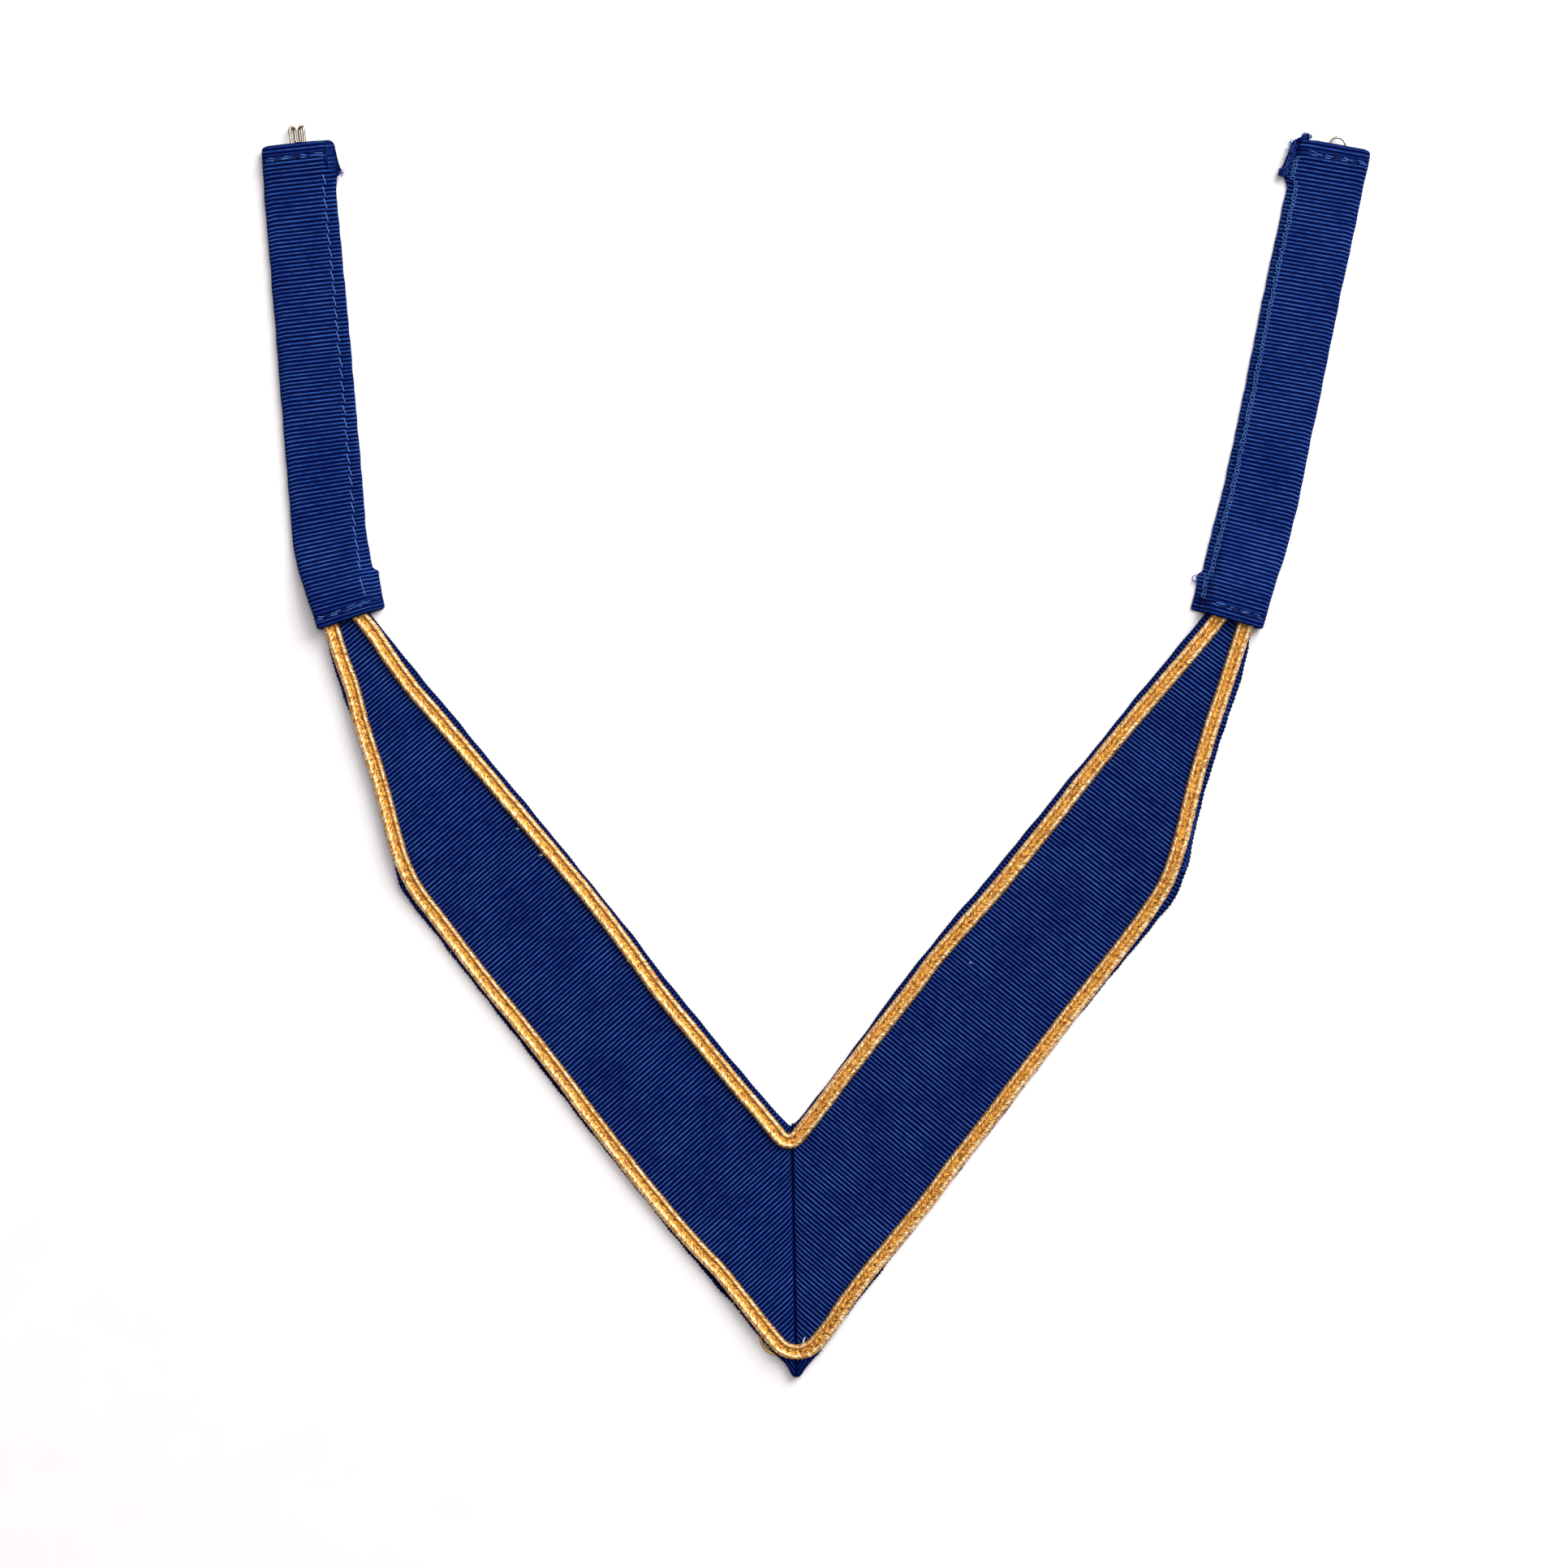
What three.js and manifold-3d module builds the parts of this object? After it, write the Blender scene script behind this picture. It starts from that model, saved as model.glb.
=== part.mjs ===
// A lodge collar lying flat: two grosgrain arms mitred to a point, two gold braids, two folded neck
// straps, a wire hook and eye, and a wire ring behind the point. Millimetres, +Z up, +Y to the neck.
import * as THREE from 'three';
import { mergeVertices } from 'three/addons/utils/BufferGeometryUtils.js';
import Module from 'manifold-3d';

// Driving sizes: the ribbon and its arms
const ribbonWidth = 39;
const clothThickness = 1.0;
const clearance = 0.3;
const armLength = 178;
const leftArmLean = 39.35;
const rightArmLean = 38.7;
const seamLean = 0.95;
const hemWidth = 9;

// Driving sizes: the braids
const braidWidth = 3.9;
const braidHeight = 1.3;
const braidTurnRoom = 0.65;
const outerTurnRadius = 6.3;
const braidStep = 8;
const braidBend = 12;

// Driving sizes: the straps; the tuck is how deep an arm's end lies in its strap's pocket
const foldLoss = 1.0;
const leftStrapLength = 118;
const rightStrapLength = 120;
const leftStrapLean = 6.4;
const rightStrapLean = 12.6;
const leftTuck = 11.9;
const rightTuck = 13.0;
const rightUnderShow = 2.0;
const foldRoll = 0.6;
const mouthGap = 7;

// Driving sizes: the wire fittings
const fittingWire = 0.6;
const sewingLoopRadius = 1.1;
const sewingLoopDepth = 2.7;
const hookReach = 4.0;
const hookWidth = 4.0;
const hookGap = 0.5;
const eyeRadius = 1.9;
const eyeOffset = 1.2;
const ringDiameter = 9.7;
const ringWire = 0.75;
const wireSides = 6;
const wireStep = 0.4;

// Worked out from the driving sizes
const strapWidth = ribbonWidth / 2 - foldLoss;
const hemLift = clothThickness + clearance;
const flatHeight = clothThickness + clearance;
const pocketHeight = hemLift + clothThickness + clearance + braidHeight + clearance;
const pointLift = ringWire + clearance;
const fittingRoom = fittingWire + clearance;
const fittingDepth = sewingLoopDepth + sewingLoopRadius + fittingWire;
const innerTurnRadius = braidWidth / 2 + braidTurnRoom;
const longerTuck = Math.max(leftTuck, rightTuck);
const mouthShare = 1 - (longerTuck + mouthGap) / armLength;

// Places on the point, from the inner corner of the V, as shares of ribbonWidth
const ringPlace = { across: -0.082, down: 1.308 };
const pointDrop = 1.56;

// Edges of the arms. along is a share of armLength from the inner corner of the V; inner and outer are the
// two edges' distances from the straight line up the neck side, as shares of ribbonWidth.
const leftArmRows = [
  { along: -0.3, inner: -0.02, outer: 0.974 },
  { along: -0.23, inner: -0.02, outer: 0.978 },
  { along: -0.18, inner: -0.01, outer: 0.988 },
  { along: -0.135, inner: -0.005, outer: 0.987 },
  { along: -0.09, inner: -0.005, outer: 0.996 },
  { along: 0.0, inner: 0.0, outer: 1.004 },
  { along: 0.045, inner: 0.01, outer: 0.998 },
  { along: 0.09, inner: 0.014, outer: 0.997 },
  { along: 0.18, inner: 0.014, outer: 0.994 },
  { along: 0.27, inner: 0.012, outer: 0.985 },
  { along: 0.36, inner: -0.002, outer: 0.975 },
  { along: 0.45, inner: -0.004, outer: 0.968 },
  { along: 0.54, inner: -0.007, outer: 0.958 },
  { along: 0.6, inner: -0.005, outer: 0.947 },
  { along: 0.62, inner: -0.004, outer: 0.917 },
  { along: 0.64, inner: -0.003, outer: 0.866 },
  { along: 0.7, inner: -0.003, outer: 0.742 },
  { along: 0.76, inner: -0.003, outer: 0.622 },
  { along: 0.82, inner: 0.0, outer: 0.513 },
  { along: 0.865, inner: -0.002, outer: 0.441 },
  { along: 0.91, inner: -0.006, outer: 0.36 },
  { along: 0.95, inner: -0.005, outer: 0.25 },
  { along: 1.0, inner: 0.0, outer: 0.13 },
];
const rightArmRows = [
  { along: -0.3, inner: -0.04, outer: 0.995 },
  { along: -0.23, inner: -0.03, outer: 1.0 },
  { along: -0.18, inner: -0.02, outer: 1.008 },
  { along: -0.135, inner: -0.015, outer: 1.0 },
  { along: -0.09, inner: -0.01, outer: 1.0 },
  { along: 0.0, inner: -0.008, outer: 0.996 },
  { along: 0.09, inner: -0.01, outer: 0.987 },
  { along: 0.18, inner: -0.026, outer: 0.985 },
  { along: 0.27, inner: -0.042, outer: 0.972 },
  { along: 0.36, inner: -0.038, outer: 0.963 },
  { along: 0.45, inner: -0.027, outer: 0.968 },
  { along: 0.54, inner: -0.023, outer: 0.976 },
  { along: 0.58, inner: -0.022, outer: 0.972 },
  { along: 0.6, inner: -0.022, outer: 0.948 },
  { along: 0.62, inner: -0.02, outer: 0.921 },
  { along: 0.64, inner: -0.017, outer: 0.879 },
  { along: 0.7, inner: -0.013, outer: 0.742 },
  { along: 0.76, inner: -0.013, outer: 0.628 },
  { along: 0.82, inner: -0.01, outer: 0.526 },
  { along: 0.865, inner: -0.006, outer: 0.452 },
  { along: 0.91, inner: -0.003, outer: 0.365 },
  { along: 0.95, inner: 0.0, outer: 0.25 },
  { along: 1.0, inner: 0.0, outer: 0.13 },
];
// How far the arms' undersides stand off the surface. inner and outer are shares of hemLift at the two
// edges: the turned-under edge lifts the outer one, the strap below lifts both. point is a share of
// pointLift, which clears the ring.
const armLiftRows = [
  { along: -0.3, inner: 0, outer: 0, point: 1 },
  { along: -0.17, inner: 0, outer: 0, point: 1 },
  { along: -0.02, inner: 0, outer: 0, point: 0 },
  { along: 0.54, inner: 0, outer: 0, point: 0 },
  { along: 0.62, inner: 0, outer: 1, point: 0 },
  { along: mouthShare - 0.13, inner: 0, outer: 1, point: 0 },
  { along: mouthShare, inner: 1, outer: 1, point: 0 },
  { along: 1.0, inner: 1, outer: 1, point: 0 },
];
const hemRows = [
  { along: 0.62, width: 0.35 },
  { along: 0.66, width: 1 },
  { along: mouthShare, width: 1 },
];

// Middle lines of the braids on the arms, insets as shares of ribbonWidth from the neck side.
const leftInnerBraidRows = [
  { along: 0.045, inset: 0.089 },
  { along: 0.09, inset: 0.094 },
  { along: 0.18, inset: 0.096 },
  { along: 0.26, inset: 0.096 },
  { along: 0.315, inset: 0.083 },
  { along: 0.37, inset: 0.068 },
  { along: 0.43, inset: 0.061 },
  { along: 0.54, inset: 0.066 },
  { along: 0.65, inset: 0.073 },
  { along: 0.76, inset: 0.082 },
  { along: 0.81, inset: 0.086 },
  { along: 0.855, inset: 0.075 },
  { along: 0.9, inset: 0.055 },
  { along: 0.965, inset: 0.05 },
];
const rightInnerBraidRows = [
  { along: 0.045, inset: 0.053 },
  { along: 0.09, inset: 0.046 },
  { along: 0.18, inset: 0.041 },
  { along: 0.26, inset: 0.037 },
  { along: 0.315, inset: 0.031 },
  { along: 0.37, inset: 0.042 },
  { along: 0.43, inset: 0.057 },
  { along: 0.54, inset: 0.06 },
  { along: 0.65, inset: 0.055 },
  { along: 0.76, inset: 0.064 },
  { along: 0.81, inset: 0.072 },
  { along: 0.855, inset: 0.079 },
  { along: 0.9, inset: 0.081 },
  { along: 0.965, inset: 0.075 },
];
const leftOuterBraidRows = [
  { along: -0.18, inset: 0.925 },
  { along: -0.135, inset: 0.92 },
  { along: -0.09, inset: 0.919 },
  { along: -0.045, inset: 0.934 },
  { along: 0.0, inset: 0.943 },
  { along: 0.09, inset: 0.942 },
  { along: 0.18, inset: 0.932 },
  { along: 0.27, inset: 0.913 },
  { along: 0.36, inset: 0.905 },
  { along: 0.45, inset: 0.9 },
  { along: 0.54, inset: 0.884 },
  { along: 0.585, inset: 0.874 },
  { along: 0.63, inset: 0.826 },
  { along: 0.675, inset: 0.741 },
  { along: 0.72, inset: 0.645 },
  { along: 0.765, inset: 0.56 },
  { along: 0.81, inset: 0.479 },
  { along: 0.855, inset: 0.385 },
  { along: 0.9, inset: 0.31 },
  { along: 0.965, inset: 0.19 },
];
const rightOuterBraidRows = [
  { along: -0.18, inset: 0.957 },
  { along: -0.135, inset: 0.941 },
  { along: -0.09, inset: 0.938 },
  { along: 0.0, inset: 0.944 },
  { along: 0.045, inset: 0.946 },
  { along: 0.09, inset: 0.936 },
  { along: 0.18, inset: 0.93 },
  { along: 0.27, inset: 0.92 },
  { along: 0.36, inset: 0.91 },
  { along: 0.45, inset: 0.905 },
  { along: 0.54, inset: 0.893 },
  { along: 0.585, inset: 0.871 },
  { along: 0.63, inset: 0.805 },
  { along: 0.675, inset: 0.715 },
  { along: 0.72, inset: 0.618 },
  { along: 0.765, inset: 0.533 },
  { along: 0.81, inset: 0.451 },
  { along: 0.855, inset: 0.378 },
  { along: 0.9, inset: 0.3 },
  { along: 0.965, inset: 0.19 },
];
// Half of the braid's section: two ridges with a groove between, as shares of its half width and height.
const braidSection = [
  { across: 0.0, height: 0.58 },
  { across: 0.2, height: 0.82 },
  { across: 0.52, height: 1.0 },
  { across: 0.86, height: 0.76 },
  { across: 1.0, height: 0.32 },
  { across: 0.88, height: 0.0 },
];

// Edges of the straps: along is a share of the strap's length from the pocket to the top; fold and selvedge
// are distances outwards from its middle line, as shares of strapWidth.
const leftStrapRows = [
  { along: 0.0, fold: 0.456, selvedge: -0.452 },
  { along: 0.05, fold: 0.524, selvedge: -0.436 },
  { along: 0.08, fold: 0.566, selvedge: -0.416 },
  { along: 0.1, fold: 0.591, selvedge: -0.36 },
  { along: 0.13, fold: 0.64, selvedge: -0.336 },
  { along: 0.16, fold: 0.66, selvedge: -0.325 },
  { along: 0.2, fold: 0.663, selvedge: -0.325 },
  { along: 0.28, fold: 0.649, selvedge: -0.346 },
  { along: 0.4, fold: 0.624, selvedge: -0.364 },
  { along: 0.5, fold: 0.606, selvedge: -0.38 },
  { along: 0.6, fold: 0.583, selvedge: -0.396 },
  { along: 0.77, fold: 0.552, selvedge: -0.415 },
  { along: 0.9, fold: 0.529, selvedge: -0.43 },
  { along: 0.925, fold: 0.522, selvedge: -0.468 },
  { along: 0.95, fold: 0.514, selvedge: -0.484 },
  { along: 1.0, fold: 0.49, selvedge: -0.474 },
];
const rightStrapRows = [
  { along: 0.0, fold: 0.493, selvedge: -0.494 },
  { along: 0.03, fold: 0.506, selvedge: -0.496 },
  { along: 0.06, fold: 0.514, selvedge: -0.493 },
  { along: 0.085, fold: 0.522, selvedge: -0.482 },
  { along: 0.1, fold: 0.53, selvedge: -0.444 },
  { along: 0.15, fold: 0.571, selvedge: -0.444 },
  { along: 0.2, fold: 0.592, selvedge: -0.43 },
  { along: 0.26, fold: 0.602, selvedge: -0.416 },
  { along: 0.4, fold: 0.58, selvedge: -0.42 },
  { along: 0.5, fold: 0.575, selvedge: -0.432 },
  { along: 0.7, fold: 0.546, selvedge: -0.46 },
  { along: 0.9, fold: 0.535, selvedge: -0.466 },
  { along: 0.92, fold: 0.526, selvedge: -0.548 },
  { along: 0.95, fold: 0.523, selvedge: -0.541 },
  { along: 1.0, fold: 0.525, selvedge: -0.528 },
];
// Height of the pocket over the arm's end: depth is a share of the tuck, rise a share of the extra height.
const pocketRows = [
  { depth: 0.0, rise: 1 },
  { depth: 0.65, rise: 1 },
  { depth: 1.2, rise: 0.55 },
  { depth: 1.9, rise: 0 },
];
// How far the straps' two ends are askew: shares of strapWidth by which the fold lies beyond the middle.
// Each fades out over endRun, a share of the strap's length.
const endRun = 0.125;
const strapEndSkew = {
  left: { foot: -0.225, top: 0.0 },
  right: { foot: -0.065, top: 0.04 },
};

const ribbonBlue = { color: 0x1b2f72, roughness: 0.8, metalness: 0 };
const braidGold = { color: 0xd0a15f, roughness: 0.4, metalness: 0.8 };
const nickelWire = { color: 0xb9b2a6, roughness: 0.25, metalness: 1 };
const brassWire = { color: 0xc9a255, roughness: 0.3, metalness: 1 };

const left = {
  side: -1,
  armLean: leftArmLean,
  armRows: leftArmRows,
  strapLean: leftStrapLean,
  strapLength: leftStrapLength,
  strapRows: leftStrapRows,
  strapSkew: strapEndSkew.left,
  tuck: leftTuck,
  footInset: 0.108,
  underShow: 0,
  pocketSlope: 0.19,
};
const right = {
  side: 1,
  armLean: rightArmLean,
  armRows: rightArmRows,
  strapLean: rightStrapLean,
  strapLength: rightStrapLength,
  strapRows: rightStrapRows,
  strapSkew: strapEndSkew.right,
  tuck: rightTuck,
  footInset: 0.126,
  underShow: rightUnderShow,
  pocketSlope: 0.12,
};

// A value from a table's named column, straight between its rows.
function fromTable(rows, place, column, key = 'along') {
  const after = rows.findIndex((row) => row[key] >= place);
  if (after === 0) return rows[0][column];
  if (after < 0) return rows[rows.length - 1][column];
  const before = rows[after - 1];
  const share = (place - before[key]) / (rows[after][key] - before[key]);
  return THREE.MathUtils.lerp(before[column], rows[after][column], share);
}

// Sorted places without doubles, for lofts that follow several tables at once.
function placesOf(...lists) {
  const sorted = lists.flat().sort((a, b) => a - b);
  return sorted.filter((place, i) => i === 0 || place - sorted[i - 1] > 1e-4);
}

// A side's own directions at a lean from the middle line: up along the piece, and outwards across it.
function directions(side, lean) {
  const angle = THREE.MathUtils.degToRad(lean);
  return {
    up: new THREE.Vector3(side * Math.sin(angle), Math.cos(angle), 0),
    out: new THREE.Vector3(side * Math.cos(angle), -Math.sin(angle), 0),
  };
}

// The place of a point that lies some distance up and out from an origin.
function placeOn({ up, out }, origin, distance, offset, height) {
  return origin.clone().addScaledVector(up, distance).addScaledVector(out, offset).setZ(height);
}

// The same surface with its faces turned outwards and its shared points merged.
function closed(geometry) {
  const bare = geometry.index ? geometry : mergeVertices(geometry);
  bare.deleteAttribute('normal');
  bare.deleteAttribute('uv');
  const merged = mergeVertices(bare);
  const position = merged.attributes.position;
  const index = Array.from(merged.index.array);
  const corner = [0, 1, 2].map(() => new THREE.Vector3());
  let volume = 0;
  for (let i = 0; i < index.length; i += 3) {
    corner.forEach((point, k) => point.fromBufferAttribute(position, index[i + k]));
    volume += corner[0].dot(corner[1].clone().cross(corner[2]));
  }
  if (volume < 0) index.reverse();
  merged.setIndex(index);
  return merged;
}

// A closed solid through stations, each with a flat profile and a function that places its points.
function loft(stations) {
  const count = stations[0].profile.length;
  const positions = stations.flatMap(({ profile, place }) => profile.flatMap((p) => place(p.x, p.y).toArray()));
  const faces = [];
  for (let i = 0; i + 1 < stations.length; i += 1) {
    for (let j = 0; j < count; j += 1) {
      const [a, b] = [i * count + j, i * count + ((j + 1) % count)];
      faces.push(a, b, b + count, a, b + count, a + count);
    }
  }
  const last = stations.length - 1;
  for (const [a, b, c] of THREE.ShapeUtils.triangulateShape(stations[0].profile, [])) faces.push(a, c, b);
  for (const [a, b, c] of THREE.ShapeUtils.triangulateShape(stations[last].profile, [])) {
    faces.push(last * count + a, last * count + b, last * count + c);
  }
  const geometry = new THREE.BufferGeometry();
  geometry.setAttribute('position', new THREE.Float32BufferAttribute(positions, 3));
  geometry.setIndex(faces);
  return closed(geometry);
}

// A round wire along a path.
function wire(points, diameter) {
  const corners = Array.from({ length: wireSides }, (_, k) => {
    const angle = (k / wireSides) * 2 * Math.PI;
    return new THREE.Vector2(Math.cos(angle), Math.sin(angle)).multiplyScalar(diameter / 2);
  });
  const extrudePath = new THREE.CatmullRomCurve3(points, false, 'centripetal');
  const steps = Math.round(extrudePath.getLength() / wireStep);
  return closed(new THREE.ExtrudeGeometry(new THREE.Shape(corners), { steps, bevelEnabled: false, extrudePath }));
}

const wasm = await Module();
wasm.setup();

function toSolid(geometry) {
  const vertProperties = new Float32Array(geometry.attributes.position.array);
  const triVerts = new Uint32Array(geometry.index.array);
  return new wasm.Manifold(new wasm.Mesh({ numProp: 3, vertProperties, triVerts }));
}

function toGeometry(solid) {
  const mesh = solid.getMesh();
  const geometry = new THREE.BufferGeometry();
  geometry.setAttribute('position', new THREE.Float32BufferAttribute(mesh.vertProperties, 3));
  geometry.setIndex(Array.from(mesh.triVerts));
  return geometry;
}

// A block that reaches far from one face: everything on one side of a line across the collar.
function halfSpace(direction, distance) {
  const reach = 4 * armLength;
  const block = new THREE.BoxGeometry(reach, reach, reach);
  block.translate(reach / 2, 0, 0);
  block.translate(-distance, 0, 0);
  block.rotateZ(Math.atan2(direction.y, direction.x));
  return toSolid(closed(block));
}

// Arms

const corner = new THREE.Vector3(0, 0, 0);

// Edges and heights of an arm at a share of its length. hemLine is where the turned-under edge reaches.
function armAt(hand, along) {
  const inner = fromTable(hand.armRows, along, 'inner') * ribbonWidth;
  const outer = fromTable(hand.armRows, along, 'outer') * ribbonWidth;
  const hemLine = Math.max(outer - hemWidth, (inner + outer) / 2);
  const lift = (column) => fromTable(armLiftRows, along, column);
  const outerLift = lift('outer') * hemLift + lift('point') * pointLift;
  return { inner, outer, hemLine, innerLift: lift('inner') * hemLift, outerLift };
}

// Height of an arm's underside: rising from the neck edge to hemLine, and level from there out.
function undersideAt(hand, along, offset) {
  const { inner, hemLine, innerLift, outerLift } = armAt(hand, along);
  const share = THREE.MathUtils.clamp((offset - inner) / (hemLine - inner), 0, 1);
  return THREE.MathUtils.lerp(innerLift, outerLift, share);
}

function armStations(hand, places, profileAt) {
  const frame = directions(hand.side, hand.armLean);
  return places.map((along) => ({
    profile: profileAt(armAt(hand, along), along).map(([x, y]) => new THREE.Vector2(x, y)),
    place: (offset, height) => placeOn(frame, corner, along * armLength, offset, height),
  }));
}

function ribbonSlab(hand, thickness, onSurface) {
  const places = placesOf(hand.armRows.map((row) => row.along), armLiftRows.map((row) => row.along));
  return toSolid(loft(armStations(hand, places, ({ inner, outer, hemLine, innerLift, outerLift }) => [
    [inner, onSurface ? 0 : innerLift],
    [hemLine, onSurface ? 0 : outerLift],
    [outer, onSurface ? 0 : outerLift],
    [outer, outerLift + thickness],
    [hemLine, outerLift + thickness],
    [inner, innerLift + thickness],
  ])));
}

// The outer edge turned under along the taper: a flap on the surface and the fold that joins it to the arm.
function turnedEdge(hand) {
  const outline = hand.armRows.map((row) => row.along).filter((a) => a > hemRows[0].along && a < mouthShare);
  const places = placesOf(outline, hemRows.map((row) => row.along));
  return toSolid(loft(armStations(hand, places, ({ outer, hemLine, outerLift }, along) => {
    const flap = outer - (outer - hemLine) * fromTable(hemRows, along, 'width');
    const top = outerLift + clothThickness;
    return [
      [flap, 0],
      [outer - foldRoll, 0],
      [outer, foldRoll],
      [outer, top],
      [outer - clothThickness, top],
      [outer - clothThickness, clothThickness],
      [flap, clothThickness],
    ];
  })));
}

// The tip is turned under too: below the ring, the point is a roll that reaches the surface.
function frontRibbon(hand) {
  const seam = new THREE.Vector3(hand.side, 0, 0).applyAxisAngle(
    new THREE.Vector3(0, 0, 1),
    THREE.MathUtils.degToRad(seamLean),
  );
  const beside = halfSpace(seam, -clearance / 2);
  const aboveDrop = halfSpace(new THREE.Vector3(0, 1, 0), pointDrop * ribbonWidth);
  const ringBottom = ringPlace.down * ribbonWidth + ringDiameter / 2 + clearance;
  const belowRing = halfSpace(new THREE.Vector3(0, -1, 0), -ringBottom);
  const tip = ribbonSlab(hand, clothThickness / 2, true).intersect(belowRing);
  const cloth = ribbonSlab(hand, clothThickness, false).add(turnedEdge(hand)).add(tip);
  return toGeometry(cloth.intersect(beside).intersect(aboveDrop));
}

// Braids

function braidPoint(hand, along, offset) {
  const frame = directions(hand.side, hand.armLean);
  const seat = undersideAt(hand, along, offset) + clothThickness + clearance;
  return placeOn(frame, corner, along * armLength, offset, seat);
}

// The turn from one arm to the other: an arc tangent to the braid's line on both.
const turnSteps = 8;
function turnPoints(leftOffset, rightOffset, radius) {
  const leftOut = directions(left.side, left.armLean).out;
  const rightOut = directions(right.side, right.armLean).out;
  const determinant = leftOut.x * rightOut.y - leftOut.y * rightOut.x;
  const [leftReach, rightReach] = [leftOffset - radius, rightOffset - radius];
  const middle = new THREE.Vector3(
    (leftReach * rightOut.y - rightReach * leftOut.y) / determinant,
    (rightReach * leftOut.x - leftReach * rightOut.x) / determinant,
    0,
  );
  const [from, to] = [leftOut, rightOut].map((out) => Math.atan2(out.y, out.x));
  const start = from > 0 ? from - 2 * Math.PI : from;
  return Array.from({ length: turnSteps + 1 }, (_, k) => {
    const angle = THREE.MathUtils.lerp(start, to, k / turnSteps);
    const hand = k < turnSteps / 2 ? left : right;
    const point = middle.clone().add(new THREE.Vector3(Math.cos(angle), Math.sin(angle), 0).multiplyScalar(radius));
    const { up, out } = directions(hand.side, hand.armLean);
    return braidPoint(hand, point.dot(up) / armLength, point.dot(out)).setX(point.x).setY(point.y);
  });
}

// Where a braid's sections stand: one at each step along it, and more where it bends.
function ringPlaces(path) {
  const walk = Math.round((path.getLength() / braidStep) * 8);
  const places = [0];
  let facing = path.getTangentAt(0);
  for (let k = 1; k < walk; k += 1) {
    const here = path.getTangentAt(k / walk);
    const stepped = (k / walk - places[places.length - 1]) * path.getLength() >= braidStep;
    if (stepped || here.angleTo(facing) >= THREE.MathUtils.degToRad(braidBend)) {
      places.push(k / walk);
      facing = here;
    }
  }
  return [...places, 1];
}

function braid(leftRows, rightRows, radius) {
  const onArm = (hand, rows) => rows.map(({ along, inset }) => braidPoint(hand, along, inset * ribbonWidth));
  const turn = turnPoints(leftRows[0].inset * ribbonWidth, rightRows[0].inset * ribbonWidth, radius);
  const route = [...onArm(left, leftRows).reverse(), ...turn, ...onArm(right, rightRows)];
  const path = new THREE.CatmullRomCurve3(route, false, 'centripetal');
  path.arcLengthDivisions = 2000;
  const half = braidSection.map(({ across, height }) => [across * braidWidth / 2, height * braidHeight]);
  const mirrored = half.slice(1).map(([across, height]) => [-across, height]);
  const profile = [...half.reverse(), ...mirrored].map(([x, y]) => new THREE.Vector2(x, y));
  return loft(ringPlaces(path).map((u) => {
    const middle = path.getPointAt(u);
    const across = path.getTangentAt(u).setZ(0).normalize().applyAxisAngle(new THREE.Vector3(0, 0, 1), -Math.PI / 2);
    const place = (offset, height) => middle.clone().addScaledVector(across, offset).setZ(middle.z + height);
    return { profile, place };
  }));
}

// Straps

function strapFrame(hand) {
  const arm = directions(hand.side, hand.armLean);
  const foot = placeOn(arm, corner, armLength - hand.tuck, hand.footInset * ribbonWidth, 0);
  return { foot, frame: directions(hand.side, hand.strapLean) };
}

// Height of the hollow between the layers: deep over the arm's end, and just over the wire at the top.
function hollowAt(hand, along) {
  const distance = along * hand.strapLength;
  const pocket = fromTable(pocketRows, distance / hand.tuck, 'rise', 'depth') * (pocketHeight - flatHeight);
  const toTop = (hand.strapLength - distance) / fittingDepth;
  const fitting = THREE.MathUtils.clamp(2 - toTop, 0, 1) * fittingRoom;
  return flatHeight + pocket + fitting;
}

// A strap is one ribbon folded lengthwise: its fold outside, its two selvedges together inside.
function strap(hand) {
  const { foot, frame } = strapFrame(hand);
  const { foot: footSkew, top: topSkew } = hand.strapSkew;
  const fittingStart = 1 - fittingDepth / hand.strapLength;
  const places = placesOf(
    hand.strapRows.map((row) => row.along),
    pocketRows.map((row) => row.depth * hand.tuck / hand.strapLength),
    [fittingStart, fittingStart - fittingDepth / hand.strapLength],
  );
  return loft(places.map((along) => {
    const fold = fromTable(hand.strapRows, along, 'fold') * strapWidth;
    const under = fromTable(hand.strapRows, along, 'selvedge') * strapWidth;
    const edge = under + hand.underShow;
    const slope = edge + hand.pocketSlope * strapWidth;
    const lip = edge + foldRoll;
    const hollow = hollowAt(hand, along);
    const nearFoot = Math.max(0, 1 - along / endRun);
    const nearTop = Math.max(0, 1 - (1 - along) / endRun);
    const endSkew = nearFoot * footSkew + nearTop * topSkew;
    const profile = [
      [under, 0],
      [fold - foldRoll, 0],
      [fold, foldRoll],
      [fold, hollow + clothThickness - foldRoll],
      [fold - foldRoll, hollow + clothThickness],
      [slope, hollow + clothThickness],
      [lip, flatHeight + clothThickness],
      [edge, flatHeight + clothThickness],
      [edge, flatHeight],
      [lip, flatHeight],
      [slope, hollow],
      [fold - clothThickness, hollow],
      [fold - clothThickness, clothThickness],
      [under, clothThickness],
    ].map(([x, y]) => new THREE.Vector2(x, y));
    const place = (offset, height) => {
      const distance = along * hand.strapLength + endSkew * offset;
      return placeOn(frame, foot, distance, offset, height);
    };
    return { profile, place };
  }));
}

// Wire fittings at the straps' tops

const wireHeight = flatHeight + fittingWire / 2;
const bendSteps = 6;

function fittingPlacer(hand, shift) {
  const { foot, frame } = strapFrame(hand);
  const top = placeOn(frame, foot, hand.strapLength, shift, 0);
  return (offset, beyond, height) => placeOn(frame, top, beyond, offset, height);
}

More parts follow.
